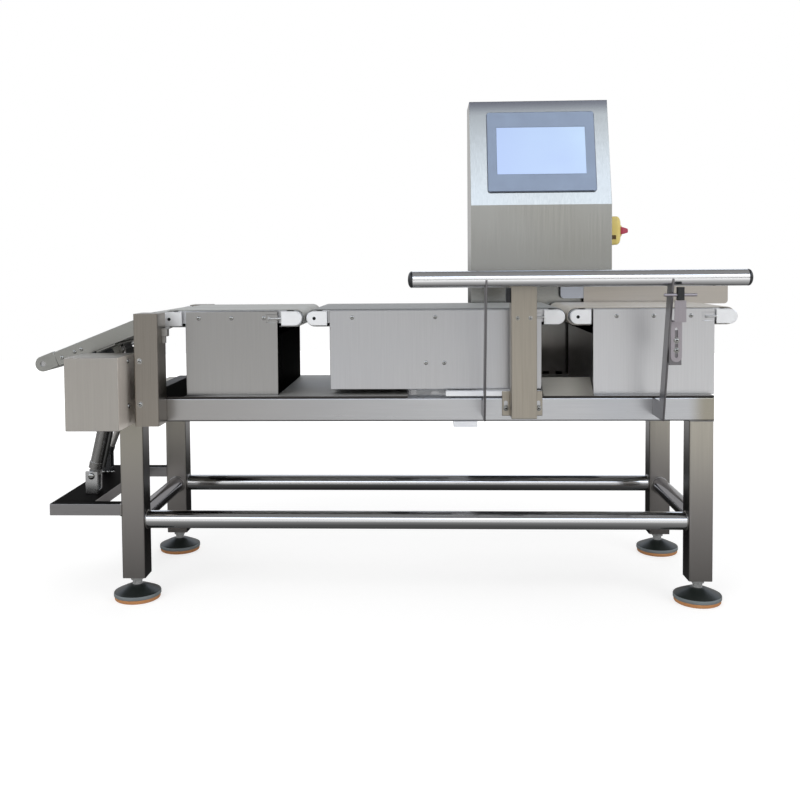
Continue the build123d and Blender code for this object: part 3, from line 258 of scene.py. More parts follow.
# The pale sheet darkens towards its right end in a painted shadow
PALE = brushed_steel("pale_stainless_sheet", "b9b7b0", "a9a7a0", 4.0, "x", 0.4, tint="b1afa8",
                     metallic=0.35, fades=[("x", 402, 345, "85837d")])
POST = brushed_steel("ground_stainless_post", "b0a99d", "958f85", 3.0, "z", 0.3, contrast=0.45,
                     tint="b8b1a4")
POST_LOW = brushed_steel("ground_stainless_reject_post", "969088", "7f7a72", 3.0, "z", 0.3,
                         contrast=0.45, tint="9a948b")
BRACKET = brushed_steel("flat_stainless_bracket", "868486", "757375", 3.0, "z", 0.28, tint="7e7c80")
HOLDER = brushed_steel("flat_stainless_holder", "b3adb2", "a09aa0", 3.0, "z", 0.3, tint="aaa5ab")
TUBE = brushed_steel("polished_stainless_tube", "dfdfdf", "cdcdcd", 3.0, "x", 0.09, contrast=0.3,
                     tint="d3d4d8")
# The cross tubes: a darker copy of the tube steel, a painted shade
TUBE_CROSS = brushed_steel("polished_stainless_cross_tube", "918f92", "7f7d80", 3.0, "y", 0.12,
                           contrast=0.3, tint="8a888c")
GUARD = brushed_steel("satin_stainless_tube", "f8f8f8", "eaeaec", 3.0, "x", 0.17, contrast=0.3,
                      tint="eeeef1")
# The guide plates' warm tone is a painted reflection
GUIDE = brushed_steel("warm_stainless_guide", "cdc5b9", "b7b0a6", 3.0, "x", 0.28, tint="bcbdc2")
# Painted shade on the deck: dark at its left end, by the reject posts, and in a thin strip along
# its front edge
DECK = brushed_steel("mill_stainless_plate", "aeaca6", "96938e", 4.0, "x", 0.5, metallic=0.5,
                     fades=[("x", -470, -380, "2e2726"), ("y", -219, -215, "35312f")])
# A near-black stainless that paints the shade on places that lie in deep shade
DARK = brushed_steel("unlit_stainless_floor", "0e0c0c", "0a0908", 4.0, "x", 0.5, tint="100e0e",
                     grazing="4c4c4c")
SHADED = brushed_steel("shaded_stainless_plate", "181615", "131110", 4.0, "x", 0.5, tint="1b1918",
                       grazing="b8b8b8")
VALVE = brushed_steel("brushed_stainless_valve_box", "aaa6a0", "98948e", 3.0, "z", 0.3,
                      tint="a5a19d", metallic=0.6)
ALUMINIUM = machined("milled_aluminium", "f8f9fa", "ebecee", 0.38, metallic=0.6)
PLATE = machined("bright_aluminium_plate", "fcfdff", "f2f5fb", 0.3, metallic=0.75)
NOSE = machined("cast_aluminium_end", "a9a9a4", "94948f", 0.35)
GREY = machined("die_cast_zinc", "b4b2ae", "94918c", 0.4, metallic=0.8)
BRIGHT = machined("turned_stainless", "cfcfcf", "a9a9a9", 0.22)
ZINC = machined("zinc_plated_screw", "c9c9c6", "8e8e8b", 0.22)
STUD = machined("satin_stainless_stud", "d9d9d8", "c2c2c0", 0.4, metallic=0.8)
STEM = machined("zinc_plated_spindle", "cfd0cf", "abacab", 0.35, metallic=0.35)
COLLAR = machined("turned_aluminium_collar", "b9b9b8", "a2a2a1", 0.35, metallic=0.5)
CHROME = machined("chromed_rod", "d6d6d8", "bfbfc2", 0.12)
BARREL = machined("drawn_stainless_barrel", "8a8987", "747371", 0.18, metallic=0.85)
PIPE = machined("dark_anodised_rail", "5a5a59", "484847", 0.3)
PAINT = moulded("enamelled_motor_case", "3c4044", "2c2f33", 0.45)
BLACK = moulded("black_nylon", "202123", "131415", 0.45)
CAP = moulded("black_polyethylene_cap", "2a2b2e", "1a1b1d", 0.35)
FOOT = moulded("glass_filled_nylon_foot", "232826", "1a1f1d", 0.34, grain=0.6)
FOOT_RIM = moulded("glass_filled_nylon_rim", "7c8385", "666d6f", 0.36, grain=0.6)
PAD = moulded("orange_polyurethane_pad", "cf9562", "b57b4d", 0.6)
RUBBER = moulded("neoprene_timing_belt", "1d1d1e", "121213", 0.7)
BEZEL = moulded("grey_blue_abs_bezel", "90a0b9", "8391a8", 0.3, grain=0.5)
# Slate rim: a dark gasket's colour, and painted shade on the bezel's lower side
SLATE = moulded("slate_abs_rim_and_shade", "56606f", "474f5d", 0.35, grain=0.5)
LATCH = moulded("brown_shaded_slot", "6d5426", "4f3c1b", 0.6)
YELLOW = moulded("yellow_polycarbonate", "f4e293", "e2ca69", 0.35)
RED = moulded("red_polyamide_handle", "c44a62", "a53a50", 0.35)
BELT = conveyor_cloth("polyurethane_belt", "b3b6b4", "96948e")
BELT_DARKER = conveyor_cloth("polyurethane_belt_darker", "8f9190", "787877")
BELT_WARM = conveyor_cloth("polyurethane_belt_warm", "c0bbb2", "a6a097")
DISPLAY = lit_display()
# Painted shade for holes, sockets and recesses
RECESS_SHADE = moulded("painted_recess_shade", "0c0c0d", "060607", 0.8)

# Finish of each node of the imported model
FINISHES = {
    LEG: "legs",
    RAIL: "long_rails cross_rails valve_box_back",
    BAR: "platform_rails",
    TUBE: "long_tubes",
    TUBE_CROSS: "cross_tubes",
    GUARD: "guard_tube",
    HOLDER: "sensor_holder",
    GUIDE: "guide_plates",
    POST: "sensor_post",
    BRACKET: "guard_brackets",
    POST_LOW: "reject_posts",
    DECK: "deck_plates",
    SHADED: "platform_plate",
    SHEET: "housing_weigh slider_beds",
    SHEET_BRIGHT: "housing_infeed",
    SHEET_SLOPED: "reject_frame",
    SHEET_WARM: "housing_outfeed",
    VALVE: "valve_box_cover",
    CABINET: "cabinet_shell cabinet_door",
    ALUMINIUM: "nose_brackets pivot_blocks load_cell",
    NOSE: "reject_noses",
    PLATE: "load_cell_mounts",
    BRIGHT: "clevis_brackets drive_roller_outfeed drive_roller_weigh drive_roller_infeed "
            "idler_roller_outfeed idler_roller_weigh idler_roller_infeed "
            "reject_head_roller reject_tail_roller",
    CHROME: "cylinder_rod damper_rod",
    BARREL: "cylinder_barrel",
    PAINT: "drive_motors reject_motor valve_block",
    BLACK: "sensors",
    GREY: "damper_body",
    CAP: "guard_caps",
    PAD: "foot_pads",
    RUBBER: "timing_belts",
    BEZEL: "hmi_bezel",
    DISPLAY: "hmi_screen",
    YELLOW: "isolator_base",
    RED: "isolator_handle",
    BELT: "belt_outfeed belt_weigh belt_infeed reject_belt",
    ZINC: "panel_screws frame_bolts",
    STUD: "tension_bolts",
    FOOT: "foot_spindles",
}
for finish, names in FINISHES.items():
    for name in names.split():
        nodes[name].data.materials.clear()
        nodes[name].data.materials.append(finish)


def dress(piece, body, finish, stands_for=()):
    """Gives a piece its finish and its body."""
    piece.data.materials.clear()
    piece.data.materials.append(finish)
    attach(piece, body)
    if stands_for:
        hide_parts(*stands_for)
    return piece


def solid(name, shells, angle=35):
    """One mesh from several closed shells, each a pair of points in millimetres and faces."""
    points, faces, start = [], [], 0
    for part, loops in shells:
        points.append(part)
        faces += [[i + start for i in loop] for loop in loops]
        start += len(part)
    mesh = bpy.data.meshes.new(name)
    mesh.from_pydata(row(np.concatenate(points)), [], faces)
    mesh.validate()
    mesh.polygons.foreach_set("use_smooth", np.ones(len(mesh.polygons), bool))
    mesh.set_sharp_from_angle(angle=math.radians(angle))
    piece = bpy.data.objects.new(name, mesh)
    bpy.context.scene.collection.objects.link(piece)
    return piece


def skin(rings, count, closed=False):
    """Faces over rings of count points each, where corner k of ring r is point r * count + k. A
    closed skin joins the last ring to the first, and an open one has its ends filled."""
    ring, corner = np.arange(rings if closed else rings - 1)[:, None], np.arange(count)
    here, there, after = ring * count, (ring + 1) % rings * count, (corner + 1) % count
    faces = np.stack([here + corner, here + after, there + after, there + corner], -1)
    faces = faces.reshape(-1, 4).tolist()
    if not closed:
        faces += [list(range(count))[::-1], list(range((rings - 1) * count, rings * count))]
    return faces


def turned(profile, place, axis="z", flip=1, count=40):
    """A turned shell: each profile point (radius, height) goes round in a ring of count points,
    x = radius * cos, y = radius * sin, z = height, then the ring's axis is laid along axis."""
    profile = np.asarray(profile, float)
    angle = np.linspace(0, 2 * np.pi, count, endpoint=False)
    grid = np.stack([
        profile[:, :1] * np.cos(angle), profile[:, :1] * np.sin(angle),
        np.broadcast_to(profile[:, 1:] * flip, (len(profile), count))], -1)
    spun = {"z": grid, "x": grid[..., [2, 0, 1]], "y": grid[..., [1, 2, 0]]}[axis]
    loops = skin(len(profile), count)
    if flip < 0:
        loops = [loop[::-1] for loop in loops]
    return spun.reshape(-1, 3) + np.asarray(place, float), loops


def prism(outline, axis, low, high):
    """A closed outline drawn anticlockwise in the plane across axis, carried from low to high."""
    outline = np.asarray(outline, float)
    ends = [np.insert(outline, "xyz".index(axis), value, axis=1) for value in (low, high)]
    if axis == "y":
        ends = ends[::-1]
    return np.concatenate(ends), skin(2, len(outline))


def rectangle(a0, b0, a1, b1):
    """The corners of a rectangle, anticlockwise from its lower left one."""
    return [(a0, b0), (a1, b0), (a1, b1), (a0, b1)]


def rounded(half_a, half_b, corner, count):
    """A rectangle with round corners: four quarter circles of corner radius, joined in turn."""
    points = []
    for i, (a, b) in enumerate(((1, 1), (-1, 1), (-1, -1), (1, -1))):
        angle = np.linspace(0, np.pi / 2, count) + i * np.pi / 2
        points.append(np.stack([a * (half_a - corner) + corner * np.cos(angle),
                                b * (half_b - corner) + corner * np.sin(angle)], -1))
    return np.concatenate(points)


def laid(a, b, axis, place):
    """Flat points a, b laid across axis: (a, b) becomes (y, z), (z, x) or (x, y)."""
    flat = np.zeros(len(a))
    return np.stack({"x": (flat, a, b), "y": (b, flat, a), "z": (a, b, flat)}[axis], -1) + place


def ring_path(x, y, z, radius, axis, count=64):
    """A circle across axis: the place plus radius times cosine and sine along the other two."""
    angle = np.linspace(0, 2 * np.pi, count, endpoint=False)
    return laid(radius * np.cos(angle), radius * np.sin(angle), axis, (x, y, z))


def frame_path(x, y, z, half_a, half_b, axis, corner=4.0, count=6):
    """A rounded rectangle across axis, about a place."""
    return laid(*rounded(half_a, half_b, corner, count).T, axis, (x, y, z))


def lofted(rings):
    """A skin over rings of as many points each, with both ends filled."""
    rings = np.asarray(rings, float)
    return rings.reshape(-1, 3), skin(*rings.shape[:2])


def bead(path, normal, radius, pitch=3.0, count=8):
    """A weld bead: a ring of count points is carried round a closed path, and its radius swells and
    shrinks by a tenth once in each pitch of the path, like the ripples of a hand-laid weld."""
    path = np.asarray(path, float)
    step = np.roll(path, -1, 0) - path
    length = np.concatenate([[0], np.cumsum(np.linalg.norm(step, axis=1))])
    total = length[-1]
    spots = np.linspace(0, total, int(total / (pitch / 3)), endpoint=False)
    closed = np.vstack([path, path[:1]])
    middle = np.stack([np.interp(spots, length, closed[:, i]) for i in range(3)], -1)
    ahead = np.roll(middle, -1, 0) - np.roll(middle, 1, 0)
    ahead /= np.linalg.norm(ahead, axis=1)[:, None]
    up = np.broadcast_to(np.asarray(normal, float), middle.shape)
    side = np.cross(up, ahead)
    angle = np.linspace(0, 2 * np.pi, count, endpoint=False)
    swell = radius * (1 + 0.1 * np.cos(2 * np.pi * spots / pitch))[:, None, None]
    grid = middle[:, None] + swell * (np.cos(angle)[:, None] * side[:, None]
                                      + np.sin(angle)[:, None] * up[:, None])
    return grid.reshape(-1, 3), [face[::-1] for face in skin(len(spots), count, closed=True)]


SHARP, SHORTEST = math.radians(30), 10.0  # which edges are rounded: angle, millimetres


def softened(name, width):
    """A merged copy of a CAD node that stands for it, with its long sharp edges rounded to width
    millimetres, as a fold or a deburred cut is, so that they catch the light."""
    source = nodes[name]
    mesh = source.data.copy()
    shape = bmesh.new()
    shape.from_mesh(mesh)
    bmesh.ops.remove_doubles(shape, verts=shape.verts, dist=1e-6)
    bmesh.ops.dissolve_limit(shape, angle_limit=math.radians(0.5), verts=shape.verts,
                             edges=shape.edges)
    weight = shape.edges.layers.float.new("bevel_weight_edge")
    for edge in shape.edges:
        if len(edge.link_faces) == 2 and edge.calc_face_angle() > SHARP:
            if edge.calc_length() * 1000 > SHORTEST:
                edge[weight] = 1.0
    shape.to_mesh(mesh)
    shape.free()
    mesh.polygons.foreach_set("use_smooth", np.ones(len(mesh.polygons), bool))
    mesh.set_sharp_from_angle(angle=SHARP)
    piece = bpy.data.objects.new(name + "_finished", mesh)
    bpy.context.scene.collection.objects.link(piece)
    bevel = piece.modifiers.new("fold", "BEVEL")
    bevel.limit_method = "WEIGHT"
    bevel.width = width / 1000.0
    bevel.segments = 2
    bevel.use_clamp_overlap = False
    even = piece.modifiers.new("flat", "WEIGHTED_NORMAL")
    even.keep_sharp = True
    return dress(piece, source["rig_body"], source.data.materials[0], [name])


def painted(piece, finish, chosen):
    """Gives a second finish to the faces whose middle, in millimetres, chosen() picks out."""
    mesh = piece.data
    middle, index = np.empty(len(mesh.polygons) * 3), np.empty(len(mesh.polygons), np.int32)
    mesh.polygons.foreach_get("center", middle)
    mesh.polygons.foreach_get("material_index", index)
    index[chosen(*(middle.reshape(-1, 3) * 1000.0 - SHIFT).T)] = len(mesh.materials)
    mesh.materials.append(finish)
    mesh.polygons.foreach_set("material_index", index)


# Frame: half its length, the middle of the legs and half their width, the low tubes' height and
# radius, the underside of the rails
HALF_X, LEG_X, LEG_Y, LEG_HALF = 625.0, 600.0, 175.0, 25.0
TUBE_Z, TUBE_RADIUS, RAILS_LOW = 172.0, 19.0, 388.0
# Platform bars: their place, half their width
BAR_Y, BAR_Z, BAR_HALF = 187.5, 198.5, 12.5
# The short guide plate lies left of the first and behind the second of these
GUIDE_X, GUIDE_Y = 440.0, 177.4
# A face whose middle lies this near to its piece's right end is part of that end
END_DEPTH = 1.2

# CAD nodes with rounded edges: the rounding in millimetres, and the slot
fine = {}
for name, width, slot in (
        ("housing_outfeed", 1.1, "stainless_sheet"), ("housing_weigh", 1.1, "stainless_sheet"),
        ("housing_infeed", 1.1, "stainless_sheet"), ("valve_box_cover", 1.4, "stainless_sheet"),
        ("cabinet_door", 0.9, "stainless_sheet"),
        ("platform_plate", 1.2, "stainless_sheet"), ("guard_brackets", 0.7, "stainless_post"),
        ("sensor_post", 1.2, "stainless_post"), ("legs", 1.2, "stainless_tube"),
        ("guide_plates", 0.6, "stainless_sheet"), ("pivot_blocks", 1.0, "aluminium"),
        ("hmi_bezel", 1.6, "bezel"), ("reject_frame", 0.7, "stainless_sheet"),
        ("reject_noses", 1.0, "aluminium"),
        ("cabinet_shell", 0.9, "stainless_sheet")):
    fine[name] = softened(name, width)
# The legs' inner side faces get a painted shade
painted(fine["legs"], LEG_SIDE, lambda x, y, z: abs(x) < LEG_X - LEG_HALF + 0.5)
# The short guide plate takes the cool painted reflection
painted(fine["guide_plates"], GUIDE_COOL, lambda x, y, z: (x < GUIDE_X) & (y > GUIDE_Y))
# Right end faces: the outfeed housing's end wall in painted shade, the valve box cover's side and
# the platform plate's lip in painted light
for name, finish in (("housing_outfeed", DARK), ("valve_box_cover", VALVE_SIDE),
                     ("platform_plate", LIP)):
    painted(fine[name], finish, lambda x, y, z: x > x.max() - END_DEPTH)

# Cylinder and damper: foot pivot, lean from upright, and the height of the dark or bright foot
CYLINDER, CYLINDER_LEAN, CYLINDER_FOOT = (-720.0, 251.0), math.radians(13.2), 31.0
DAMPER, DAMPER_LEAN, DAMPER_FOOT = (-770.0, 244.0), math.radians(22.0), 26.0
CYLINDER_Y = -95.0


def from_foot(x, z, foot, lean):
    """How far points lie across and along a leaning axis, from its foot pivot."""
    x, z = x - foot[0], z - foot[1]
    return x * math.cos(lean) - z * math.sin(lean), x * math.sin(lean) + z * math.cos(lean)


def on_side_rail(x, y, z):
    """The dark rail along the barrel, which stands further from its axis than the barrel."""
    across, along = from_foot(x, z, CYLINDER, CYLINDER_LEAN)
    return (across > 12) & (along > CYLINDER_FOOT)


barrel = softened("cylinder_barrel", 0.6)
painted(barrel, PIPE, on_side_rail)
# The collar is a ring round the barrel above its foot, and leans with it
collar, loops = turned([(13.4, 15.5), (13.9, 16.0), (13.9, 30.0), (13.2, 31.0), (12.6, 31.2)],
                       (0, 0, 0), count=48)
sine, cosine = math.sin(CYLINDER_LEAN), math.cos(CYLINDER_LEAN)
collar = collar @ np.array([[cosine, 0, -sine], [0, 1, 0], [sine, 0, cosine]])
collar = collar + (CYLINDER[0], CYLINDER_Y, CYLINDER[1])
dress(solid("cylinder_collar", [(collar, loops)]), "cylinder", COLLAR)
forks = softened("clevis_brackets", 0.8)
painted(forks, BLACK, lambda x, y, z: y > 0)  # the damper's fork
bars = softened("platform_rails", 0.9)
painted(bars, SHADED, lambda x, y, z: z > BAR_Z + BAR_HALF - 0.2)
damper = softened("damper_body", 0.5)
painted(damper, BLACK, lambda x, y, z: from_foot(x, z, DAMPER, DAMPER_LEAN)[1] < DAMPER_FOOT)
eyes_and_switch = softened("sensors", 0.7)
painted(eyes_and_switch, GREY, lambda x, y, z: x < -400)  # the end switch on the reject post

# Conveyors along x: drive and idler axis, first and last panel edge, and how far inside these
# the outer panel screws are
CONVEYORS = {
    "outfeed": (-521.5, -250.5, -485.0, -287.0, 29.0),
    "weigh": (-209.5, 306.5, -175.5, 272.5, 48.0),
    "infeed": (348.0, 664.5, 380.3, 632.2, 49.0),
}
# Height of the rollers' axes and of the panel screws, half the width over the panels
AXIS_Z, SCREW_Z, FACE = 604.5, 606.0, 175.0
# Belts: half width, thickness; radius of the rollers, and of the reject conveyor's
BELT_HALF, BELT_THICK, ROLLER, REJECT_ROLLER = 150.0, 2.0, 16.8, 14.3
# End brackets: inner and outer face, length from the axis to the square end
BRACKET_IN, BRACKET_OUT, BRACKET_REACH = 163.0, 174.9, 28.5
# Take-up notches: depth, lower and upper edge; place of the push bolt
NOTCH, NOTCH_LOW, NOTCH_HIGH, PUSH_Y = 24.1, 595.9, 613.1, 175.4
# Reject conveyor: its head roller's axis, the distance to the tail's, how far it hangs down
PIVOT, REJECT_LENGTH, DROP = (-559.0, 603.0), 256.0, math.radians(21.4)
# Pieces on the deck start a hair over its top
DECK_TOP = 441.05


def pan_head(x, y, z, side, radius=4.5, height=2.4):
    """A screw's domed head: a turned dome on a short rim."""
    t = np.linspace(0, 1, 7)
    dome = np.stack([radius * np.cos(t * 1.25), 0.7 + (height - 0.7) * np.sin(t * 1.5)], -1)
    profile = np.vstack([[radius * 0.98, 0.0], dome])
    return turned(profile, (x, y, z), "y", side, 24)


def cross_recess(x, y, z, side, reach=2.3, arm=0.45, height=2.45):
    """The recess in a screw's head, as a dark cross of painted shade that is sunk into it."""
    star = [(reach, -arm), (reach, arm), (arm, arm), (arm, reach), (-arm, reach), (-arm, arm),
            (-reach, arm), (-reach, -arm), (-arm, -arm), (-arm, -reach), (arm, -reach), (arm, -arm)]
    low, high = sorted((y + side * (height - 0.6), y + side * height))
    return prism(np.array(star) + (x, z), "y", low, high)


screw_spots = [(x, side * FACE, SCREW_Z, side)
               for first, last, inset in (spec[2:] for spec in CONVEYORS.values())
               for x in (first + inset, (first + last) / 2, last - inset) for side in (-1, 1)]
screw_spots += [(28.7, -FACE, 508.9, -1), (67.5, -FACE, 508.7, -1)]  # the load cell's two
dress(solid("panel_screw_heads", [pan_head(*spot) for spot in screw_spots]), "base",
      ZINC, ["panel_screws"])
# Painted shade in the heads' cross recesses
dress(solid("panel_screw_recesses", [cross_recess(*spot) for spot in screw_spots]), "base",
      RECESS_SHADE)


def button_bolt(place, axis, flip, radius):
    """A button-head bolt: a dome over a thin washer."""
    t = np.linspace(0, 1, 8)
    dome = np.stack([radius * (1 - 0.55 * t ** 2.2),
                     0.9 + 0.62 * radius * np.sin(t * np.pi / 2) ** 0.9], -1)
    profile = np.vstack([[radius * 1.25, 0], [radius * 1.25, 0.8], [radius, 0.9], dome[1:]])
    return turned(profile, place, axis, flip, 28)


def socket(place, axis, flip, radius):
    """The six-sided socket of a button-head bolt, whose dark floor of painted shade stands a hair
    over its dome.
    """
    high = 0.9 + 0.62 * radius + 0.05
    return turned([(radius * 0.4, high - 0.6), (radius * 0.4, high)], place, axis, flip, 6)


# Bolts of the reject posts, the sensor post above and below, the valve box, the platform and the
# sensor holder
bolt_spots = [((PIVOT[0], side * 262.0, z), "y", side, 4.5)
              for z in (434.0, 523.5) for side in (-1, 1)]
bolt_spots += [((229.0 + dx, -245.0, 606.5), "y", -1, 3.4) for dx in (-13, 13)]
bolt_spots += [((229.0 + dx, -203.0, 416.0), "y", -1, 4.8) for dx in (-34, 34)]
bolt_spots += [((-589.0, -247.0, z), "x", 1, 4.2) for z in (429.0, 522.5)]
bolt_spots += [((-770.0 + dx, 116.0, 211.0), "z", 1, 4.0) for dx in (-2, 9, 20)]
bolt_spots += [((513.25, -329.1, z), "y", -1, 4.6) for z in (547.0, 566.0)]
dress(solid("frame_bolt_heads", [button_bolt(*spot) for spot in bolt_spots]), "base",
      ZINC, ["frame_bolts"])
# Painted shade in the bolts' sockets
dress(solid("frame_bolt_sockets", [socket(*spot) for spot in bolt_spots]), "base",
      RECESS_SHADE)

# Weld beads where tube meets tube
beads = []
for sx in (-1, 1):
    for sy in (-1, 1):
        x, y = sx * LEG_X, sy * LEG_Y
        for place, axis, normal in (((sx * (LEG_X - LEG_HALF), y), "x", (1, 0, 0)),
                                    ((x, sy * (LEG_Y - LEG_HALF)), "y", (0, 1, 0))):
            beads.append(bead(ring_path(*place, TUBE_Z, TUBE_RADIUS, axis), normal, 1.9))
        beads.append(bead(frame_path(x, y, RAILS_LOW, LEG_HALF, LEG_HALF, "z"), (0, 0, 1), 1.3))
for sy in (-1, 1):
    beads.append(bead(frame_path(-HALF_X, sy * BAR_Y, BAR_Z, BAR_HALF, BAR_HALF, "x", 1.5),
                      (1, 0, 0), 2.0))
dress(solid("weld_beads", beads, 180), "base",
      machined("ground_weld_bead", "b9b6b2", "8d8a86", 0.35, marks=2.0))


# Levelling feet: turned cone with its rim, neck, hexagon and lock nut
def hexagon(across, low, high, place):
    """A six-sided nut with its corners turned off at both ends."""
    flat, corner = across / 2, across / math.sqrt(3)
    angle = np.linspace(0, 2 * np.pi, 48, endpoint=False)
    reach = flat / np.cos((angle + np.pi / 6) % (np.pi / 3) - np.pi / 6)
    levels = [(low, flat * 0.98), (low + 0.7, corner), (high - 0.7, corner), (high, flat * 0.98)]
    shell, loops = turned([(1.0, z) for z, _ in levels], (0, 0, 0), count=48)
    cut = np.concatenate([np.minimum(reach, limit) for _, limit in levels])
    shell[:, :2] *= cut[:, None]
    return shell + np.asarray(place, float), loops


feet, stems, soles = [], [], []
RIM_TOP = 15.8  # faces below it take the rim's finish
cone = [(30, 8.5), (49, 8.5), (50, 9.3), (50, 14.8), (49.2, 16.2), (45, 18.4), (37, 22.0),
        (29, 25.6), (21, 29.0), (15.5, 31.0), (13.5, 31.4), (8.1, 31.4)]
neck = [(9.4, 31.5), (10.4, 31.8), (10.4, 33.4), (9.4, 33.9)]
sole = [(40, 0), (45.5, 0), (47.6, 1.2), (48.4, 2.8), (48.4, 8.4), (40, 8.4)]
for sx in (-1, 1):
    for sy in (-1, 1):
        place = (sx * LEG_X, sy * LEG_Y, 0)
        feet.append(turned(cone, place, count=64))
        stems.append(turned(neck, place, count=32))
        stems.append(hexagon(18, 34, 39.9, place))
        stems.append(hexagon(24, 40, 50, place))
        soles.append(turned(sole, place, count=64))
cones = dress(solid("foot_cones", feet), "base", FOOT, ["foot_spindles"])
painted(cones, FOOT_RIM, lambda x, y, z: z < RIM_TOP)
dress(solid("foot_stems", stems, 25), "base", STEM)
dress(solid("foot_soles", soles), "base", PAD, ["foot_pads"])


# Belts: a loop with rounded edges
def belt_loop(x0, z0, x1, z1, inner, thickness, half, corner=0.7, arc=28):
    """A flat belt: the section, a thin rectangle with rounded corners from -half to half, is
    carried round a path of two half circles joined by two straight runs."""
    ahead = np.array([x1 - x0, z1 - z0], float)
    ahead /= np.linalg.norm(ahead)
    up = np.array([-ahead[1], ahead[0]])
    turn = np.linspace(np.pi / 2, 3 * np.pi / 2, arc)
    ends = [((x0, z0), turn), ((x1, z1), turn + np.pi)]
    centre = np.concatenate([np.broadcast_to(c, (arc, 2)) for c, _ in ends])
    out = np.concatenate([np.cos(a)[:, None] * ahead + np.sin(a)[:, None] * up for _, a in ends])
    section = rounded(half, thickness / 2, corner, 4)
    reach = inner + thickness / 2 + section[:, 1]
    flat = centre[:, None] + out[:, None] * reach[None, :, None]
    grid = np.stack([flat[..., 0], np.broadcast_to(section[:, 0], flat.shape[:2]), flat[..., 1]],
                    -1)
    return grid.reshape(-1, 3), skin(len(out), len(section), closed=True)


# The weighing belt is a darker copy of the belt cloth, and the infeed's a warmer one
for (name, (drive, idler, *_)), cloth in zip(CONVEYORS.items(), (BELT, BELT_DARKER, BELT_WARM)):
    loop = belt_loop(drive, AXIS_Z, idler, AXIS_Z, ROLLER, BELT_THICK, BELT_HALF)
    dress(solid(f"{name}_belt_loop", [loop]), "base", cloth, [f"belt_{name}"])
tail = (PIVOT[0] - REJECT_LENGTH * math.cos(DROP), PIVOT[1] - REJECT_LENGTH * math.sin(DROP))
loop = belt_loop(*tail, *PIVOT, REJECT_ROLLER, BELT_THICK, BELT_HALF)
dress(solid("reject_belt_loop", [loop]), "reject", BELT, ["reject_belt"])


# End brackets of the belts: milled blocks with a round end, a chamfered rim, the shaft's hole as a
# dark disc of painted shade
def nose(x, end, y0, y1, radius=15.5, reach=BRACKET_REACH, rim=1.2, arc=24):
    """A rounded block: the outline, a half circle on a square tail, is carried across in four
    steps, the outer two drawn in by rim."""
    turn = np.linspace(-np.pi / 2, np.pi / 2, arc)
    levels = []
    for y, inset in ((y0, rim), (y0 + rim, 0), (y1 - rim, 0), (y1, rim)):
        r = radius - inset
        across = np.concatenate([r * np.cos(turn), [-reach + inset * 0.2, -reach + inset * 0.2]])
        height = np.concatenate([r * np.sin(turn), [r, -r]])
        levels.append(np.stack([x + end * across, np.full(len(across), y), AXIS_Z + height], -1))
    loops = skin(4, arc + 2)
    if end > 0:
        loops = [loop[::-1] for loop in loops]
    return np.concatenate(levels), loops


blocks, eyes = [], []
for drive, idler, *_ in CONVEYORS.values():
    for side in (-1, 1):
        low, high = sorted((side * BRACKET_IN, side * BRACKET_OUT))
        blocks.append(nose(drive, -1, low, high))
        blocks.append(nose(idler, 1, low, high))
        hole = (drive + 1, side * (BRACKET_OUT - 0.3), AXIS_Z)
        eyes.append(turned([(3.6, 0), (3.6, 0.5)], hole, "y", side, 20))
dress(solid("end_brackets", blocks, 30), "base", ALUMINIUM, ["nose_brackets"])
dress(solid("bracket_shaft_holes", eyes), "base", RECESS_SHADE)

# Backs of the take-up notches in the side panels, with the bolt that pushes the end bracket out:
# a shank that reaches the bracket's square end, and a six-sided head
backs, pushers = [], []
for _, idler, _, end, _ in CONVEYORS.values():
    reach = idler - BRACKET_REACH - end
    for side in (-1, 1):
        y0, y1 = sorted((side * 173.0, side * 174.2))
        notch = rectangle(end - NOTCH, NOTCH_LOW, end + 0.1, NOTCH_HIGH)
        backs.append(prism(notch, "y", y0, y1))
        pushers.append(turned([(2.4, 0), (2.4, 15.0 + reach)],
                              (end - 15.0, side * PUSH_Y, AXIS_Z), "x", 1, 24))
        pushers.append(turned([(3.6, 0), (4.2, 0.5), (4.2, 4.0), (3.6, 4.5)],
                              (end - 19.4, side * PUSH_Y, AXIS_Z), "x", 1, 6))
backs = dress(solid("notch_backs", backs), "base", SHEET)
# The notch backs take each housing's own copy of the sheet: painted shade on the outfeed's, painted
# light on the infeed's
painted(backs, SHEET_WARM, lambda x, y, z: x < -200)
painted(backs, SHEET_BRIGHT, lambda x, y, z: x > 500)
dress(solid("push_bolts", pushers), "base", STUD)

# Sheets on the deck: a sheet of painted shade beside the reject posts, and the pale one beside the
# sensor post, which slopes down to the front and darkens to its right end in a painted shadow
sheet = prism(rectangle(-570, -198, -486, 198), "z", DECK_TOP, 441.5)
dress(solid("deck_painted_shade_sheet", [sheet]), "base", DARK)
slope = [(-198, DECK_TOP), (-150, DECK_TOP), (-150, 474), (-151, 474.5), (-198, 441.5)]
dress(solid("deck_sheet_pale", [prism(slope, "x", 274, 378)]), "base", PALE)

# Bright bar on the deck's front edge, below the weighing conveyor
edge = [(-198.5, DECK_TOP), (-187, DECK_TOP), (-187, 451), (-187.5, 451.5), (-198, 451.5),
        (-198.5, 451)]
dress(solid("deck_front_bar", [prism(edge, "x", 70, 270)]), "base", PLATE)

# Screws in the reject tray's side plates
tray_spots = [(x, side * FACE, z, side)
              for x, z in ((-755.1, 523.1), (-727.3, 535.3), (-712.7, 540.9)) for side in (-1, 1)]
dress(solid("tray_screw_heads", [pan_head(*spot, radius=4.0) for spot in tray_spots]), "reject",
      ZINC)
# Painted shade in their cross recesses
dress(solid("tray_screw_recesses", [cross_recess(*spot) for spot in tray_spots]), "reject",
      RECESS_SHADE)

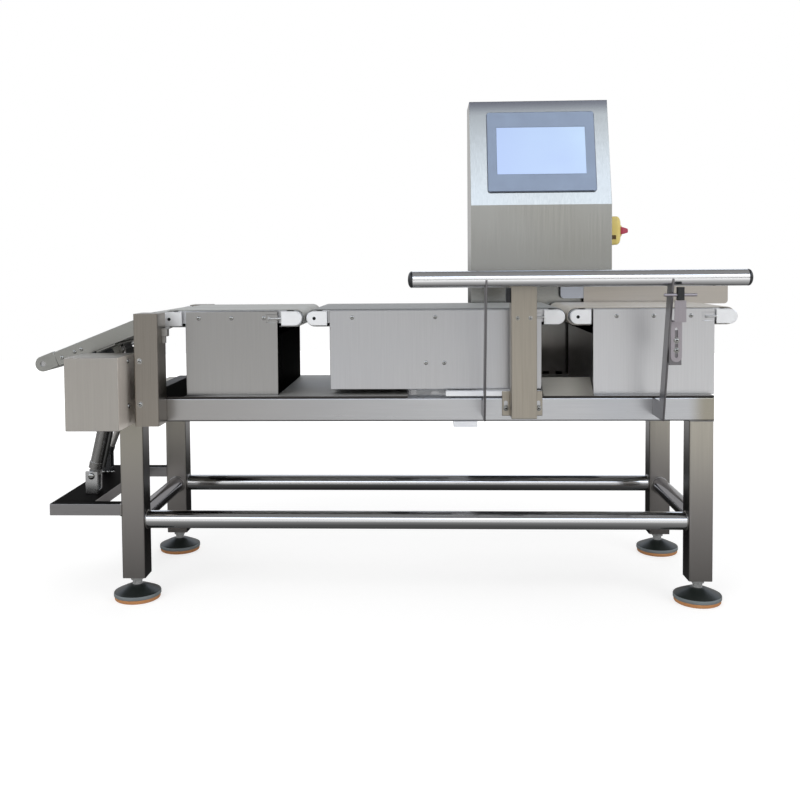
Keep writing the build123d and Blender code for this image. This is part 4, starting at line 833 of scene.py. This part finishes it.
# Guard rail: the tube and its domed plugs
RAIL_ENDS, RAIL_AT = (4.0, 644.0), (-340.0, 687.5)
length = RAIL_ENDS[1] - RAIL_ENDS[0]
rail = turned([(15.4, 0), (16.0, 0.6), (16.0, length - 0.6), (15.4, length)],
              (RAIL_ENDS[0], *RAIL_AT), "x", 1, 72)
dress(solid("guard_rail_tube", [rail]), "base", GUARD, ["guard_tube"])
plug = [(12.0, 0.05), (15.9, 0.05), (16.0, 0.5), (16.0, 1.6), (15.6, 3.2), (14.4, 5.0), (12.0, 6.7),
        (9.0, 7.9), (5.0, 8.7), (1.5, 9.0)]
plugs = [turned(plug, (x, *RAIL_AT), "x", flip, 48) for x, flip in zip(RAIL_ENDS, (-1, 1))]
dress(solid("guard_plugs", plugs), "base", CAP, ["guard_caps"])

# Slotted bolt of the cylinder's fork, its slot a dark bar of painted shade
head = pan_head(CYLINDER[0], -111.0, CYLINDER[1], -1, 7.5, 4.2)
dress(solid("fork_bolt_head", [head]), "base", ZINC)
slot = rectangle(CYLINDER[0] - 6, CYLINDER[1] - 0.8, CYLINDER[0] + 6, CYLINDER[1] + 0.8)
slot = prism(slot, "y", -115.25, -114.2)
dress(solid("fork_bolt_slot", [slot]), "base", RECESS_SHADE)

# Touch screen: a slate rim round the foot of the bezel, a dark gasket that also paints the shade on
# the bezel's lower side
TILT, PANEL_FOOT = math.radians(15.0), np.array((320.5, 200.0, 865.0))


def on_panel(points):
    """Points drawn flat, with their height over the tilted panel as z, turned onto it."""
    across, rise, out = np.asarray(points, float).T
    y = rise * math.sin(TILT) - out * math.cos(TILT)
    return np.stack([across, y, rise * math.cos(TILT) + out * math.sin(TILT)], -1) + PANEL_FOOT


rim = [on_panel(frame_path(0, 139, out, 135.5 + grow, 106.5 + grow, "z", 8.0))
       for out, grow in ((0.1, 0.2), (0.3, 0.45), (3.2, 0.45), (3.5, 0.2))]
dress(solid("bezel_rim", [lofted(rim)]), "base", SLATE)

# Main switch: a yellow box that rounds off to its collar, a latch slot, and the red grip on its hub
SWITCH_FACE, SWITCH_AT = 492.0, (290.0, 801.0)  # the cabinet's side, and the place on it
HUB = SWITCH_FACE + 45.0
body = [frame_path(SWITCH_FACE + out, *SWITCH_AT, half, half, "x", corner)
        for out, half, corner in ((0.1, 35.2, 5), (0.8, 36, 5), (23, 36, 5), (26, 35.2, 6),
                                  (28.8, 33.4, 8), (31.4, 30.6, 9), (33.2, 27.4, 10), (34, 24, 10))]
dress(solid("switch_body", [lofted(body)]), "base", YELLOW, ["isolator_base"])
slot_at = (SWITCH_FACE + 14, SWITCH_AT[0] - 36.3, SWITCH_AT[1] - 17)
slot = [frame_path(slot_at[0], slot_at[1] + back, slot_at[2], 5.2, 6.5, "y", 1.2)
        for back in (1.0, 0.0)]
dress(solid("switch_latch_slot", [lofted(slot)]), "base", LATCH)
hub = turned([(5, -12), (5, -10.8), (15, -10.8), (15, -6.5), (14.2, -5), (12.5, -4.4)],
             (HUB, *SWITCH_AT), "x", 1, 48)
grip = [frame_path(HUB + out, *SWITCH_AT, long, wide, "x", 3.0)
        for out, long, wide in ((-10.2, 22, 9.4), (-6, 23.8, 9.2), (0, 22.4, 7.8), (5, 20.6, 6.4),
                                (8.4, 19.2, 5.2), (9.2, 18, 4))]
switch = dress(solid("switch_grip", [hub, lofted(grip)]), "main_switch", RED,
               ["isolator_handle"])


def on_collar(x, y, z):
    """The yellow collar: the hub's faces behind its front edge, and none of the grip's."""
    away = np.hypot(y - SWITCH_AT[0], z - SWITCH_AT[1])
    return (x < HUB - 4.2) & (away > 12.4) & (abs(z - SWITCH_AT[1]) > 9.5)


painted(switch, YELLOW, on_collar)

# Camera, as the photograph was taken: a little above the guard rail and right of the middle.
# Angles in radians.
yaw, pitch, roll = 0.0420, -0.0448, -0.0081
ahead = Vector((-math.sin(yaw) * math.cos(pitch), math.cos(yaw) * math.cos(pitch), math.sin(pitch)))
level = Vector((math.cos(yaw), math.sin(yaw), 0))
rise = level.cross(ahead)
right = level * math.cos(roll) + rise * math.sin(roll)
upward = rise * math.cos(roll) - level * math.sin(roll)
lens = bpy.data.cameras.new("camera")
lens.sensor_width, lens.lens = 36.0, 42.27
lens.shift_x, lens.shift_y = 0.01409, -0.11266
lens.clip_end = 60
camera = bpy.data.objects.new("camera", lens)
turn = Matrix((right, upward, -ahead)).transposed().to_4x4()
camera.matrix_world = Matrix.Translation(row((34.1, -2161.8, 711.0))) @ turn
bpy.context.scene.collection.objects.link(camera)
bpy.context.scene.camera = camera

# Room: white to the camera. In the metal's reflections it is dark below the horizon, grey up to
# 22 degrees above it, bright and bluish from 25 to 37 degrees and dark overhead, and duller behind
# the machine than in front of it.
world = bpy.data.worlds.new("studio")
bpy.context.scene.world = world
world.use_nodes = True
tree = world.node_tree
tree.nodes.clear()
path = add(tree, "LightPath")
facing = add(tree, "SeparateXYZ", {0: add(tree, "TexCoord").outputs["Generated"]})
bands = add(tree, "ValToRGB", {0: facing.outputs[2]})
grey, bluish = (0.38, 0.38, 0.38), (0.78, 0.86, 0.99)
stops = [(0.0, grey), (0.38, grey), (0.43, bluish), (0.60, bluish),
         (0.645, (0.1, 0.1, 0.102)), (1.0, (0.09, 0.09, 0.09))]
ramp = bands.color_ramp.elements
while len(ramp) < len(stops):
    ramp.new(0.5)
for stop, (place, colour) in zip(ramp, stops):
    stop.position, stop.color = place, (*colour, 1)
behind = add(tree, "MapRange", {"Value": facing.outputs[1], "From Min": 0.1, "From Max": 0.6,
                                "To Min": 2.6, "To Max": 1.56}, interpolation_type="SMOOTHSTEP")
below = add(tree, "MapRange", {"Value": facing.outputs[2], "From Min": -0.04, "From Max": 0.02,
                               "To Min": 0.08})
strength = add(tree, "Math", {0: behind.outputs[0], 1: below.outputs[0]}, operation="MULTIPLY")
gloss = add(tree, "Background", {"Color": bands.outputs[0], "Strength": strength.outputs[0]})
clear = add(tree, "Math", {0: path.outputs["Is Camera Ray"],
                           1: path.outputs["Is Transmission Ray"]}, operation="MAXIMUM")
even = add(tree, "MapRange", {"Value": clear.outputs[0], "To Min": 0.55, "To Max": 1.0})
plain = add(tree, "Background", {"Color": (1, 1, 1, 1), "Strength": even.outputs[0]})
sky = add(tree, "MixShader", {0: path.outputs["Is Glossy Ray"], 1: plain.outputs[0],
                              2: gloss.outputs[0]})
tree.links.new(sky.outputs[0], add(tree, "OutputWorld").inputs[0])

# Lamps round the machine, aimed at its middle. The metal doesn't mirror them.
AIM = Vector((0, 0, 0.5))
for name, place, size, power in (("key", (-1.8, -3.0, 2.8), 2.4, 58.0),
                                 ("fill", (2.6, -2.4, 2.0), 2.2, 30.0),
                                 ("back", (0.4, 2.8, 2.6), 2.4, 34.0)):
    lamp = bpy.data.lights.new(name, "AREA")
    lamp.size, lamp.energy = size, power
    holder = bpy.data.objects.new(name, lamp)
    holder.location = place
    holder.rotation_euler = (AIM - Vector(place)).to_track_quat("-Z", "Y").to_euler()
    holder.visible_glossy = False
    bpy.context.scene.collection.objects.link(holder)

# Floor: white to the camera except where the machine shades it. In the metal's reflections it is
# pale all round, with a painted shade under the machine and in a spot behind it.
paper, tree, output = blank("pale_floor")
path = add(tree, "LightPath")
place = add(tree, "TexCoord").outputs["Object"]
narrow = add(tree, "Mapping", {"Vector": place, "Scale": (0.5, 1.0, 1.0)})
near = add(tree, "VectorMath", {0: narrow.outputs[0]}, operation="LENGTH")
shade = add(tree, "MapRange", {"Value": near.outputs["Value"], "From Min": 0.3, "From Max": 2.2,
                               "To Min": 0.12})
spot = add(tree, "Mapping", {"Vector": place, "Scale": (0.6, 1.0, 1.0),
                             "Location": (0.0, -0.8, 0.0)})
away = add(tree, "VectorMath", {0: spot.outputs[0]}, operation="LENGTH")
back = add(tree, "MapRange", {"Value": away.outputs["Value"], "From Min": 0.55, "From Max": 1.2,
                              "To Min": 0.08, "To Max": 1.0})
shade = add(tree, "Math", {0: shade.outputs[0], 1: back.outputs[0]}, operation="MULTIPLY")
lit = add(tree, "BsdfDiffuse", {"Color": linear("f2f2f2")})
seen = add(tree, "BsdfDiffuse", {"Color": linear("a8a8a8")})
far = add(tree, "VectorMath", {0: place}, operation="LENGTH")
lift = add(tree, "MapRange", {"Value": far.outputs["Value"], "From Min": 1.2, "From Max": 2.4,
                              "To Min": 0.72, "To Max": 1.05})
white = add(tree, "Emission", {"Color": (1, 1, 1, 1), "Strength": lift.outputs[0]})
seen = add(tree, "AddShader", {0: seen.outputs[0], 1: white.outputs[0]})
dim = add(tree, "Emission", {"Color": (1, 1, 1, 1), "Strength": shade.outputs[0]})
first = add(tree, "MixShader", {0: path.outputs["Is Glossy Ray"], 1: lit.outputs[0],
                                2: dim.outputs[0]})
last = add(tree, "MixShader", {0: path.outputs["Is Camera Ray"], 1: first.outputs[0],
                               2: seen.outputs[0]})
tree.links.new(last.outputs[0], output.inputs[0])
mesh = bpy.data.meshes.new("floor")
FLOOR_RADIUS, FLOOR_Z, FLOOR_COUNT = 6.0, -0.0005, 96
angle = np.linspace(0, 2 * np.pi, FLOOR_COUNT, endpoint=False)
disc = np.stack([FLOOR_RADIUS * np.cos(angle), FLOOR_RADIUS * np.sin(angle),
                 np.full(FLOOR_COUNT, FLOOR_Z)], -1)
mesh.from_pydata(disc, [], [list(range(FLOOR_COUNT))])
mesh.materials.append(paper)
floor = bpy.data.objects.new("floor", mesh)
bpy.context.scene.collection.objects.link(floor)

bpy.context.scene.view_settings.view_transform = "Standard"
